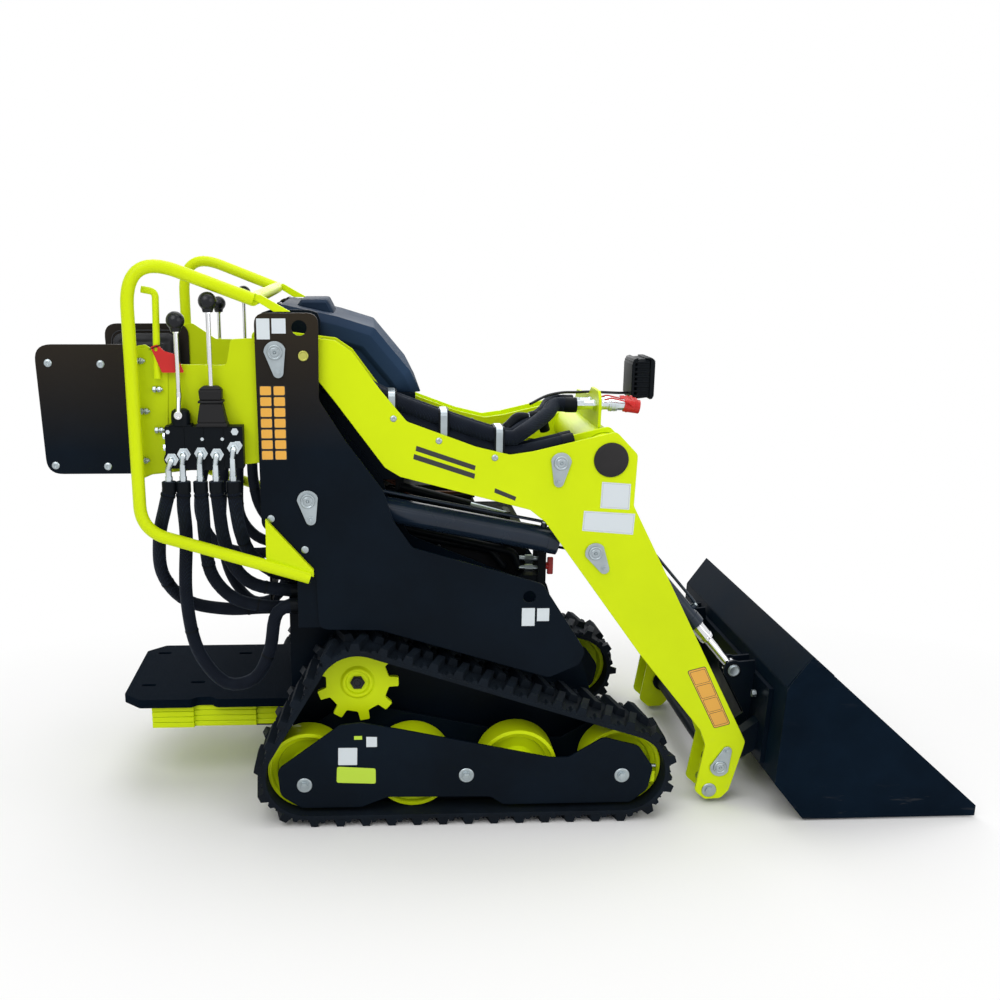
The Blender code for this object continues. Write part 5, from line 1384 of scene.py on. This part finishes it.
def make_platform():
    """The stand-on plate with its slots and notch, and the stacked weights under it."""
    outline = rounded([(-1.110, -0.180), (-1.060, -0.230), (-0.915, -0.230), (-0.900, -0.212),
                       (-0.860, -0.212), (-0.845, -0.230), (-0.6223, -0.230), (-0.6223, 0.230),
                       (-1.060, 0.230), (-1.110, 0.180)], 0.014, 5)
    slots = [rounded([(x - 0.020, y - 0.007), (x + 0.020, y - 0.007), (x + 0.020, y + 0.007),
                      (x - 0.020, y + 0.007)], 0.007, 4)
             for x, y in ((-1.053, 0.158), (-0.801, 0.148), (-1.053, -0.114), (-0.915, -0.095))]
    bm = bmesh.new()
    add_plate(bm, outline, 0.245, 0.270, slots)
    swap = Matrix(((1, 0, 0, 0), (0, 0, 1, 0), (0, 1, 0, 0), (0, 0, 0, 1)))
    bmesh.ops.transform(bm, matrix=swap, verts=bm.verts)
    piece("platform_fine", bm, "grained", "chassis", 0.002, ("platform",))
    bm = bmesh.new()
    blocks = (((-1.030, -0.912), 0.215), ((-0.914, -0.738), 0.205), ((-0.741, -0.625), 0.195))
    for k in range(4):
        z = 0.1790 + 0.0164 * k
        for x, half in blocks:
            add_box(bm, x, (-half, half), (z, z + 0.0155))
        add_box(bm, (-1.02, -0.64), (-0.19, 0.19), (z + 0.012, min(z + 0.018, 0.2445)))
    piece("counterweights_fine", bm, "paint", "chassis", 0.002, ("counterweights",))
    bm = bmesh.new()
    for x in (-0.985, -0.700):
        for y in (-0.120, 0.120):
            add_rod(bm, (x, y, 0.1792), (x, y, 0.1752), 0.011, 6)
    piece("platform_bolts", bm, "dull", "chassis", 0.0004)


# Hood

def make_hood():
    """A moulded shell: a chamfered crest, broad rims round recessed side panels, and a crown at the rear."""
    corners = [(-0.645, 1.000), (-0.645, 1.356), (-0.490, 1.3225), (-0.395, 1.2935), (-0.303, 1.184),
               (-0.208, 1.000)]
    steps = ((0.0, 0.224), (0.004, 0.229), (0.016, 0.2435), (0.020, 0.2470), (0.024, 0.2480),
             (0.052, 0.2480), (0.056, 0.2460), (0.066, 0.2340), (0.071, 0.2325))
    bm = bmesh.new()
    add_twin_loft(bm, [(rounded(inset(corners, d) if d else corners, 0.014, 4), y) for d, y in steps])
    bmesh.ops.bisect_plane(bm, geom=bm.verts[:] + bm.edges[:] + bm.faces[:], plane_co=(0, 0, 1.130),
                           plane_no=(0, 0, 1), clear_inner=True)
    shell = piece("hood_fine", bm, "hood", "hood_body", 0, ("hood",), smooth=24)
    wall = shell.modifiers.new("wall", "SOLIDIFY")
    wall.thickness = 0.004
    wall.offset = -1
    bm = bmesh.new()
    crown = rounded([(-0.606, 1.340), (-0.590, 1.361), (-0.520, 1.361), (-0.496, 1.315)], 0.010, 5)
    add_twin_loft(bm, [(crown, 0.098), (inset(crown, 0.002), 0.108), (inset(crown, 0.008), 0.116)])
    piece("hood_crown", bm, "hood", "hood_body", 0.002, ("hood",))
    bm = bmesh.new()
    for side in (-1, 1):
        add_rod(bm, (-0.641, side * 0.150, 1.3495), (-0.641, side * 0.215, 1.3495), 0.0065, 20)
    piece("hood_hinges", bm, "black", "chassis", 0.0006)


# Lift arms

def arm_outline():
    """Side view of an arm's plate."""
    corners = [(-0.700, 1.300), (-0.493, 1.274), (-0.452, 1.246), (-0.383, 1.152), (-0.316, 1.072),
               (-0.140, 1.007), (-0.053, 0.986), (0.005, 0.994), (0.219, 1.044), (0.276, 0.985),
               (0.272, 0.851), (0.601, 0.211), (0.614, 0.184), (0.605, 0.146), (0.578, 0.040),
               (0.556, 0.016), (0.512, 0.014), (0.482, 0.040), (0.503, 0.177), (0.486, 0.222),
               (0.309, 0.442), (0.042, 0.810), (0.002, 0.842), (-0.333, 0.931), (-0.372, 0.955),
               (-0.500, 1.128), (-0.545, 1.185), (-0.690, 1.196)]
    return rounded(corners, 0.018, 6)


def web_run():
    """The line of the hose channel's floor between the arm's plates, in side view."""
    return [(-0.520, 1.168), (-0.460, 1.108), (-0.405, 1.074), (-0.320, 1.040), (-0.145, 0.979),
            (-0.053, 0.958), (0.010, 0.967), (0.120, 0.992)]


def hose_run():
    """The line that the arm's hoses follow: the channel's floor, from further back."""
    return [(-0.575, 1.203)] + web_run()


def make_arm():
    """Arms of two plates, with the hose channel's floor between them."""
    bm = bmesh.new()
    holes = [(PIVOT, 0.018), (CROSS_TUBE, 0.0565)]
    add_plate(bm, arm_outline(), 0.377, 0.385, holes[:1])
    add_plate(bm, arm_outline(), 0.285, 0.293, holes)
    add_plate(bm, web_run() + [(x, z - 0.006) for x, z in reversed(web_run())], 0.292, 0.378)
    for spot in ((-0.180, 0.935), (0.330, 0.560)):
        add_cross(bm, spot, 0.292, 0.378, 0.011, 24)
    pair("arm_{}_fine", bm, "paint", "arms", size("edge"), ("arm_{}",))
    make_arm_fasteners()


def make_arm_fasteners():
    """Pins, retaining plates, stop bolts, screws and bosses of the arms."""
    y = 0.385
    bm = bmesh.new()
    for centre, angle in ((TILT_BASE, -95), (LIFT_EYE, -60), (HITCH_PIN, 70)):
        add_flag_pin(bm, centre, angle, y, 1, 0.005, 0.0045)
    add_cross(bm, TILT_BASE, 0.198, 0.286, 0.0175, 32)
    for centre in (LIFT_EYE, HITCH_PIN):
        add_cross(bm, centre, 0.281, 0.286, 0.0175, 32)
    add_cross(bm, HITCH_PIN, 0.292, 0.378, 0.0175, 32)
    add_turned(bm, [(0, 0), (0.0205, 0), (0.0205, 0.0018), (0.0190, 0.0032), (0, 0.0032)], STOP_BOLT, y, 36)
    add_cross(bm, STOP_BOLT, y + 0.003, y + 0.0085, 0.0125, 6)
    add_cross(bm, STOP_BOLT, y + 0.0080, y + 0.0092, 0.0070, 24)
    add_cross(bm, STOP_BOLT, 0.292, 0.378, 0.013, 24)
    for spot in ((-0.350, 1.080), (-0.235, 1.023), (-0.092, 0.979)):
        add_dome(bm, spot, y, 0.0085)
        add_cross(bm, spot, 0.2832, 0.2852, 0.0065, 6)
    pair("arm_pins_{}", bm, "zinc", "arms", 0.0005, ("arm_{}",))
    bm = bmesh.new()
    add_cross(bm, PIVOT, 0.291, 0.379, 0.036, 40)
    for centre in (LIFT_EYE, HITCH_PIN):
        add_cross(bm, centre, 0.2845, 0.2822, 0.030, 36)
    pair("arm_boss_{}", bm, "paint", "arms", 0.0008, ("arm_{}",))


def make_cross_tube():
    """The tube across the arms with its weld beads, black end caps and cylinder lugs."""
    bm = bmesh.new()
    add_cross(bm, CROSS_TUBE, -0.3775, 0.3775, 0.055, 64, 0)
    for side in (-1, 1):
        cap = [(0, 0), (0.0445, 0), (0.0450, 0.0018), (0.0438, 0.0045), (0.0410, 0.0058), (0.0200, 0.0066),
               (0, 0.0068)]
        add_turned(bm, [(r, side * h) for r, h in cap], CROSS_TUBE, side * 0.3848, 64, 1)
        bead = [(x, side * 0.2835, z) for x, z in arc(CROSS_TUBE, 0.0555, 0, 360, 49)]
        add_pipe(bm, bead, 0.0028, 8, 0)
        near = TILT_Y - TILT_RADIUS - 0.010
        y = sorted((side * near, side * (near - 0.008)))
        add_plate(bm, arc(TILT_BASE, 0.032, 100, 260, 16) + [(0.200, 0.925), (0.200, 1.015)], *y)
    piece("arm_cross_tube_fine", bm, ["paint", "cap"], "arms", 0.0008, ("arm_cross_tube",))


def arm_hose_routes():
    """Four hoses on the right arm's web: two rows of two, the upper row on to the couplers."""
    run = hose_run()
    routes = []
    for row in (0, 1):
        line = beside(run, 0.0275 + row * 0.039)
        for shift, far in zip((-1, 1), COUPLER_Y):
            y = -0.335 + shift * 0.0203
            route = [(x, y, z) for x, z in line]
            if row:
                bend = Vector((0.0897, far, COUPLER_Z))
                route = route[:7] + [(-0.020, y + 0.012, 1.036), bend.lerp(Vector(route[7]), 0.35),
                                     bend, (0.1297, far, COUPLER_Z)]
            routes.append(smooth_route(route, 0.012))
            if row:
                routes[-1].append(Vector((0.1497, far, COUPLER_Z)))
    return routes


def add_strap(bm, x, half, line, slot):
    """A flat band bent over the hoses, along a line across them."""
    inner = inset(line, 0.003)
    for spots in zip(line, line[1:], inner[1:], inner):
        v = [bm.verts.new((x + dx, y, z)) for dx in (-half, half) for y, z in spots]
        for f in ((0, 1, 2, 3), (4, 5, 6, 7), (0, 1, 5, 4), (1, 2, 6, 5), (2, 3, 7, 6), (3, 0, 4, 7)):
            bm.faces.new([v[i] for i in f]).material_index = slot


def make_arm_hoses():
    """Sleeved hoses along the right arm, with lined zinc straps over them and bands at their ends."""
    bands = bmesh.new()
    for k, line in enumerate(arm_hose_routes()):
        tube(f"arm_hose_{k}", line, 0.0193, "sleeve", "arms", ("arm_hoses",), 8)
        length = route_length(line)
        add_pipe(bands, stretch(line, length - 0.030, length - 0.002), 0.0203, 28, 0)
        if k > 1:
            add_pipe(bands, stretch(line, length - 0.012, length - 0.001), 0.0160, 6, 1)
    piece("arm_hose_bands", bands, ["black", "zinc"], "arms", 0)
    base, top_line = web_run(), beside(hose_run(), 0.0665)
    y0, y1 = -0.3767, -0.2933
    bm = bmesh.new()
    for x in (-0.354, -0.222, -0.080):
        for half, lift, slot in ((0.0085, 0.0, 0), (0.0135, -0.0012, 1)):
            low, high = height_at(base, x) + 0.012, height_at(top_line, x) + 0.0195 + lift
            near = [(y0 - lift, low), (y0 - lift, high - 0.010), (y0 + 0.003, high - 0.002),
                    (y0 + 0.010, high + 0.0035)]
            far = [(y1 - 0.010, high + 0.0035), (y1 - 0.003, high - 0.002), (y1 + lift, high - 0.010),
                   (y1 + lift, low)]
            add_strap(bm, x, half, near + far, slot)
    bmesh.ops.remove_doubles(bm, verts=bm.verts, dist=0.00005)
    piece("arm_hose_straps", bm, ["zinc", "black"], "arms", 0.0005, ("arm_hoses",))


def make_couplers():
    """The coupler plate, two quick couplers with red caps on tethers, and two hose elbows."""
    bm = bmesh.new()
    foot = [(-0.215, 1.0273), (-0.215, 1.104), (-0.196, 1.125), (-0.100, 1.125), (-0.060, 1.100),
            (0.120, 1.092), (0.150, 1.060), (0.150, 1.0273)]
    skin(bm, [[bm.verts.new((x, y, z)) for y, z in rounded(foot, 0.008, 4)] for x in (0.203, 0.211)])
    turns = ((0.1500, 0.1700, 0.0145, 6), (0.1690, 0.1960, 0.0125, 32), (0.1950, 0.2030, 0.0165, 6),
             (0.2110, 0.2190, 0.0165, 6), (0.2180, 0.2380, 0.0130, 32), (0.2370, 0.2600, 0.0172, 36),
             (0.2420, 0.2450, 0.0180, 36), (0.2520, 0.2550, 0.0180, 36), (0.2590, 0.2800, 0.0150, 32))
    for y in COUPLER_Y:
        for x0, x1, radius, sides in turns:
            add_rod(bm, (x0, y, COUPLER_Z), (x1, y, COUPLER_Z), radius, sides, 1)
        add_rod(bm, (0.279, y, COUPLER_Z), (0.321, y, 1.079), 0.0185, 36, 2)
        for x in (0.286, 0.297, 0.308):
            add_rod(bm, (x, y, 1.084), (x + 0.004, y, 1.0835), 0.0195, 36, 2)
        tether = [(0.300, y - 0.018, 1.082), (0.285, y - 0.026, 1.096), (0.240, y - 0.020, 1.106),
                  (0.225, y - 0.010, 1.100)]
        add_pipe(bm, bent_path(tether, 0.012, 5), 0.0022, 10, 2)
    piece("couplers_fine", bm, ["paint", "steel", "red"], "arms", 0.0006, ("couplers",))
    bm = bmesh.new()
    for x, y in ((-0.012, -0.262), (0.030, -0.236)):
        route = bent_path([(x - 0.050, y - 0.030, 1.030), (x - 0.012, y - 0.012, 1.066),
                           (x + 0.018, y + 0.010, 1.062), (x + 0.030, y + 0.020, 1.022)], 0.022, 8)
        add_pipe(bm, route, 0.0140, 24, 0)
        add_pipe(bm, stretch(route, 0.012, 0.022), 0.0168, 6, 0)
        add_pipe(bm, stretch(route, 0.085, 0.093), 0.0165, 6, 1)
    piece("hose_elbows", bm, ["black", "zinc"], "arms", 0.0006)


def make_lamp_cable():
    """The lamp's cable, from the hose bundle over the coupler plate."""
    knots = [(0.020, -0.205, 1.092), (0.070, -0.160, 1.108), (0.120, -0.110, 1.1105), (0.165, -0.075, 1.107),
             (0.207, -0.052, 1.1055), (0.262, -0.032, 1.101), (0.300, -0.020, 1.098), (0.330, -0.015, 1.098)]
    line = smooth_route(knots, 0.014)
    cable = tube("lamp_cable", line, 0.0038, "knob", "arms", (), 5)
    length = route_length(line)


def make_lamp():
    """The work lamp: a body with fins between two frames, a ribbed lens and its foot."""
    bm = bmesh.new()
    body = rounded([(0.340, 1.084), (0.337, 1.194), (0.378, 1.198), (0.387, 1.090)], 0.008, 4)
    add_twin_loft(bm, [(body, 0.0465), (inset(body, 0.004), 0.0505)])
    for k in range(8):
        z = 1.0905 + 0.0134 * k
        fin = rounded([(0.327, z), (0.327, z + 0.006), (0.376, z + 0.0065), (0.376, z)], 0.002, 3)
        add_twin_loft(bm, [(fin, 0.0520), (inset(fin, 0.001), 0.0535)])
    for post in ([(0.3255, 1.096), (0.3255, 1.180), (0.3310, 1.196), (0.3420, 1.1995), (0.3420, 1.1930),
                  (0.3345, 1.186), (0.3345, 1.081), (0.3310, 1.083)],
                 [(0.3770, 1.083), (0.3770, 1.1935), (0.3640, 1.1960), (0.3640, 1.1998), (0.3800, 1.1998),
                  (0.3880, 1.1940), (0.3905, 1.1840), (0.3905, 1.0960), (0.3870, 1.0850)]):
        post = rounded(post, 0.004, 4)
        add_twin_loft(bm, [(post, 0.0530), (inset(post, 0.0012), 0.0548)])
    add_box(bm, (0.388, 0.3917), (-0.049, 0.049), (1.090, 1.192), 1)
    add_box(bm, (0.2115, 0.352), (-0.018, 0.018), (1.0525, 1.0575), 2)
    add_box(bm, (0.3375, 0.350), (-0.018, 0.018), (1.056, 1.084), 2)
    for x in (0.232, 0.344):
        add_rod(bm, (x, 0, 1.0570), (x, 0, 1.0625), 0.008, 6, 2)
    piece("work_lamp_fine", bm, ["black", "lens", "zinc"], "arms", 0.0006, ("work_lamp",))


# Bucket, hitch and cylinders

def make_bucket():
    """The bucket with its lip, weld beads and the bolts of its cutting edge."""
    refined("bucket", "bucket", "bucket_body", 0.0012)
    bm = bmesh.new()
    lip = [(0.678, 0.384), (0.738, 0.4672), (0.7440, 0.4640), (0.6860, 0.3840)]
    add_plate(bm, lip, -0.4870, 0.4870)
    for end in (-1, 1):
        bead = [(x, end * 0.4865, z) for x, z in ((0.7420, 0.4610), (0.6855, 0.3830), (0.6735, 0.1160),
                                                  (0.7540, 0.0170), (1.0950, 0.0145))]
        add_pipe(bm, bead, 0.0035, 8)
    piece("bucket_welds", bm, "bucket", "bucket_body", 0.0006)
    bm = bmesh.new()
    for k in range(7):
        y = -0.420 + 0.140 * k
        add_rod(bm, (1.150, y, 0.0195), (1.150, y, 0.0235), 0.0105, 24)
        add_rod(bm, (1.150, y, 0.0230), (1.150, y, 0.0240), 0.0065, 6)
    piece("edge_bolts", bm, "dull", "bucket_body", 0.0004)


def make_hitch():
    """The hitch plate with the rings and pins at its upper ears, and its bolts."""
    refined("hitch", "plate", "bucket_body", 0.0012)
    bm = bmesh.new()
    for side in (-1, 1):
        for y0 in (0.216, 0.265):
            add_cross(bm, TILT_EYE, side * (y0 - 0.0005), side * (y0 + 0.0095), 0.0215, 32, 0)
        add_cross(bm, TILT_EYE, side * 0.2150, side * 0.2780, 0.0170, 32, 1)
        add_turned(bm, [(0, 0), (0.0150, 0), (0.0150, side * 0.0035), (0.0130, side * 0.0045),
                        (0.0100, side * 0.0035), (0, side * 0.0035)], TILT_EYE, side * 0.2778, 28, 1)
        for z in (0.205, 0.305):
            add_rod(bm, (0.652, side * 0.330, z), (0.640, side * 0.330, z), 0.010, 6, 1)
    piece("hitch_fittings", bm, ["black", "zinc"], "bucket_body", 0.0006)


def make_cylinders():
    """Lift and tilt cylinders: black barrels, bright glands and chromed rods, with their ports."""
    for side, name in SIDES:
        for kind in ("lift", "tilt"):
            refined(f"{kind}_barrel_{name}", "barrel", f"{kind}_barrels", 0.001)
            refined(f"{kind}_rod_{name}", "chrome", f"{kind}_rods", 0.0006)
        add_barrel_fittings("lift", side, name, LIFT_BASE, LIFT_EYE, LIFT_Y, LIFT_RADIUS, 0.094)
        add_barrel_fittings("tilt", side, name, TILT_BASE, TILT_EYE, TILT_Y, TILT_RADIUS, 0.168)


def add_barrel_fittings(kind, side, name, base, eye, y, radius, bare):
    """A barrel's collars, ports and hard line, and the bright gland of a tilt cylinder.

    bare is what is left of the way to the eye past the barrel's end.
    """
    run = Vector(eye) - Vector(base)
    length = run.length - bare
    run = run.normalized()
    across = Vector((-run.y, run.x))

    def place(along, out=0.0):
        spot = Vector(base) + run * along + across * out
        return (spot.x, side * y, spot.y)

    bm = bmesh.new()
    add_rod(bm, place(length - 0.030), place(length - 0.0005), radius + 0.0012, 40, 0)
    add_rod(bm, place(0.045), place(0.052), radius + 0.0010, 40, 0)
    for along in (0.075, length - 0.045):
        add_rod(bm, place(along, radius - 0.002), place(along, radius + 0.009), 0.0085, 24, 0)
        add_rod(bm, place(along, radius + 0.008), place(along, radius + 0.013), 0.0080, 6, 1)
    line = bent_path([place(0.075, radius + 0.011), place(0.095, radius + 0.012),
                      place(length - 0.065, radius + 0.012), place(length - 0.045, radius + 0.011)], 0.008, 4)
    add_pipe(bm, line, 0.0042, 14, 0)
    piece(f"{kind}_fittings_{name}", bm, ["barrel", "zinc"], f"{kind}_barrels", 0.0005)
    if kind == "tilt":
        bm = bmesh.new()
        add_rod(bm, place(length + 0.0005), place(length + 0.0555), 0.0192, 40)
        for along in (0.004, 0.046):
            add_rod(bm, place(length + along), place(length + along + 0.005), 0.0202, 40)
        piece(f"tilt_gland_{name}", bm, "chrome", "tilt_barrels", 0.0006)


# Stickers

def make_stickers():
    """Blank stripes and stickers on the arms."""
    y = 0.3852
    bm = bmesh.new()
    for bar in ([(-0.292, 1.011), (-0.141, 0.959), (-0.143, 0.947), (-0.294, 0.998)],
                [(-0.298, 0.990), (-0.142, 0.938), (-0.144, 0.925), (-0.300, 0.977)],
                [(-0.090, 0.900), (-0.035, 0.877), (-0.038, 0.867), (-0.092, 0.889)]):
        add_card(bm, bar, y, 0)
    for card in ([(0.186, 0.915), (0.261, 0.909), (0.260, 0.841), (0.184, 0.846)],
                 [(0.142, 0.839), (0.276, 0.830), (0.273, 0.774), (0.139, 0.786)]):
        add_card(bm, card, y, 1)
        add_card(bm, inset(card, 0.0030), y + 0.0003, 2)
        add_card(bm, inset(card, 0.0036), y + 0.0005, 1)
    strip = [(0.439, 0.394), (0.488, 0.407), (0.569, 0.238), (0.524, 0.226)]
    add_card(bm, rounded(strip, 0.006, 4), y, 0)
    add_card(bm, rounded(inset(strip, 0.0018), 0.005, 4), y + 0.0003, 3)
    a, b, c, d = [Vector(v) for v in inset(strip, 0.0042)]
    for k in range(4):
        t0, t1 = k / 4 + 0.012, (k + 1) / 4 - 0.012
        cell = [tuple(a.lerp(d, t0)), tuple(b.lerp(c, t0)), tuple(b.lerp(c, t1)), tuple(a.lerp(d, t1))]
        add_card(bm, rounded(cell, 0.003, 3), y + 0.0005, 0)
        add_card(bm, rounded(inset(cell, 0.0011), 0.0025, 3), y + 0.0007, 3)
    pair("arm_stickers_{}", bm, ["ink", "white", "grey", "orange"], "arms", 0)


# Operators

class LOADER_OT_stage(bpy.types.Operator):
    """Add the floor, the studio lights and the camera"""
    bl_idname = "loader.stage"
    bl_label = "Stage"

    def execute(self, context):
        make_stage()
        return {"FINISHED"}


class LOADER_OT_finishes(bpy.types.Operator):
    """Make the finishes that the pieces wear"""
    bl_idname = "loader.finishes"
    bl_label = "Finishes"

    def execute(self, context):
        make_finishes()
        return {"FINISHED"}


class LOADER_OT_hoses(bpy.types.Operator):
    """Add the sleeved hoses from the valves to the manifolds"""
    bl_idname = "loader.hoses"
    bl_label = "Control hoses"

    def execute(self, context):
        make_hoses()
        return {"FINISHED"}


class LOADER_OT_lamp_cable(bpy.types.Operator):
    """Add the cable of the work lamp"""
    bl_idname = "loader.lamp_cable"
    bl_label = "Lamp cable"

    def execute(self, context):
        make_lamp_cable()
        return {"FINISHED"}


class LOADER_OT_tracks(bpy.types.Operator):
    """Add the rubber tracks with their lugs"""
    bl_idname = "loader.tracks"
    bl_label = "Tracks"

    def execute(self, context):
        make_track()
        return {"FINISHED"}


class LOADER_OT_wheels(bpy.types.Operator):
    """Add the wheels, track frames and tensioners"""
    bl_idname = "loader.wheels"
    bl_label = "Track wheels"

    def execute(self, context):
        make_wheels()
        make_track_frame()
        make_tensioner()
        return {"FINISHED"}


class LOADER_OT_sprockets(bpy.types.Operator):
    """Add the drive sprockets"""
    bl_idname = "loader.sprockets"
    bl_label = "Sprockets"

    def execute(self, context):
        make_sprocket()
        return {"FINISHED"}


class LOADER_OT_towers(bpy.types.Operator):
    """Add the towers, the chassis and the rear panel"""
    bl_idname = "loader.towers"
    bl_label = "Towers"

    def execute(self, context):
        make_towers()
        return {"FINISHED"}


class LOADER_OT_engine(bpy.types.Operator):
    """Add the engine and what stands beside it"""
    bl_idname = "loader.engine"
    bl_label = "Engine bay"

    def execute(self, context):
        make_engine()
        make_bay()
        return {"FINISHED"}


class LOADER_OT_guards(bpy.types.Operator):
    """Add the guard tubes and the hook"""
    bl_idname = "loader.guards"
    bl_label = "Guards"

    def execute(self, context):
        make_guard()
        make_hook_rod()
        return {"FINISHED"}


class LOADER_OT_side_panels(bpy.types.Operator):
    """Add the side panels and their bolts"""
    bl_idname = "loader.side_panels"
    bl_label = "Side panels"

    def execute(self, context):
        make_side_panel()
        return {"FINISHED"}


class LOADER_OT_hip_rests(bpy.types.Operator):
    """Add the hip plates with their stuffed pads"""
    bl_idname = "loader.hip_rests"
    bl_label = "Hip rests"

    def execute(self, context):
        make_hip_rest()
        return {"FINISHED"}


class LOADER_OT_valves(bpy.types.Operator):
    """Add the valves, their elbows and levers"""
    bl_idname = "loader.valves"
    bl_label = "Valves"

    def execute(self, context):
        make_valve()
        return {"FINISHED"}


class LOADER_OT_platform(bpy.types.Operator):
    """Add the stand-on plate and the weights"""
    bl_idname = "loader.platform"
    bl_label = "Platform"

    def execute(self, context):
        make_platform()
        return {"FINISHED"}


class LOADER_OT_hood(bpy.types.Operator):
    """Add the hood"""
    bl_idname = "loader.hood"
    bl_label = "Hood"

    def execute(self, context):
        make_hood()
        return {"FINISHED"}


class LOADER_OT_lift_arms(bpy.types.Operator):
    """Add the lift arms, their pins and the cross tube"""
    bl_idname = "loader.lift_arms"
    bl_label = "Lift arms"

    def execute(self, context):
        make_arm()
        make_cross_tube()
        return {"FINISHED"}


class LOADER_OT_arm_hoses(bpy.types.Operator):
    """Add the hoses along the right arm and their straps"""
    bl_idname = "loader.arm_hoses"
    bl_label = "Arm hoses"

    def execute(self, context):
        make_arm_hoses()
        return {"FINISHED"}


class LOADER_OT_couplers(bpy.types.Operator):
    """Add the quick couplers"""
    bl_idname = "loader.couplers"
    bl_label = "Couplers"

    def execute(self, context):
        make_couplers()
        return {"FINISHED"}


class LOADER_OT_lamp(bpy.types.Operator):
    """Add the work lamp"""
    bl_idname = "loader.lamp"
    bl_label = "Work lamp"

    def execute(self, context):
        make_lamp()
        return {"FINISHED"}


class LOADER_OT_bucket(bpy.types.Operator):
    """Add the bucket with its cutting edge"""
    bl_idname = "loader.bucket"
    bl_label = "Bucket"

    def execute(self, context):
        make_bucket()
        return {"FINISHED"}


class LOADER_OT_hitch(bpy.types.Operator):
    """Add the hitch plate"""
    bl_idname = "loader.hitch"
    bl_label = "Hitch"

    def execute(self, context):
        make_hitch()
        return {"FINISHED"}


class LOADER_OT_cylinders(bpy.types.Operator):
    """Add the lift and tilt cylinders"""
    bl_idname = "loader.cylinders"
    bl_label = "Cylinders"

    def execute(self, context):
        make_cylinders()
        return {"FINISHED"}


class LOADER_OT_stickers(bpy.types.Operator):
    """Add the blank stripes and stickers of the arms"""
    bl_idname = "loader.stickers"
    bl_label = "Stickers"

    def execute(self, context):
        make_stickers()
        return {"FINISHED"}


OPERATORS = (
    LOADER_OT_stage, LOADER_OT_finishes, LOADER_OT_hoses, LOADER_OT_lamp_cable, LOADER_OT_tracks,
    LOADER_OT_wheels, LOADER_OT_sprockets, LOADER_OT_towers, LOADER_OT_engine, LOADER_OT_guards,
    LOADER_OT_side_panels, LOADER_OT_hip_rests, LOADER_OT_valves, LOADER_OT_platform, LOADER_OT_hood,
    LOADER_OT_lift_arms, LOADER_OT_arm_hoses, LOADER_OT_couplers, LOADER_OT_lamp, LOADER_OT_bucket,
    LOADER_OT_hitch, LOADER_OT_cylinders, LOADER_OT_stickers,
)


class LOADER_PT_panel(bpy.types.Panel):
    """Lists the loader's steps and settings."""
    bl_idname = "LOADER_PT_panel"
    bl_label = "Loader"
    bl_space_type = "VIEW_3D"
    bl_region_type = "UI"
    bl_category = "Loader"

    def draw(self, context):
        for name in ("paint", "black", "rubber", "warning"):
            self.layout.prop(context.scene.loader_colours, name)
        for name in ("edge", "bolt", "hose"):
            self.layout.prop(context.scene.loader_sizes, name)
        for operator in OPERATORS:
            self.layout.operator(operator.bl_idname)


def register():
    for cls in (LoaderColours, LoaderSizes, *OPERATORS, LOADER_PT_panel):
        bpy.utils.register_class(cls)
    bpy.types.Scene.loader_colours = bpy.props.PointerProperty(type=LoaderColours)
    bpy.types.Scene.loader_sizes = bpy.props.PointerProperty(type=LoaderSizes)


def unregister():
    del bpy.types.Scene.loader_sizes
    del bpy.types.Scene.loader_colours
    for cls in (LOADER_PT_panel, *reversed(OPERATORS), LoaderSizes, LoaderColours):
        bpy.utils.unregister_class(cls)


def main():
    register()
    for operator in OPERATORS:
        getattr(bpy.ops.loader, operator.bl_idname.split(".")[1])()


if __name__ == "__main__":
    main()
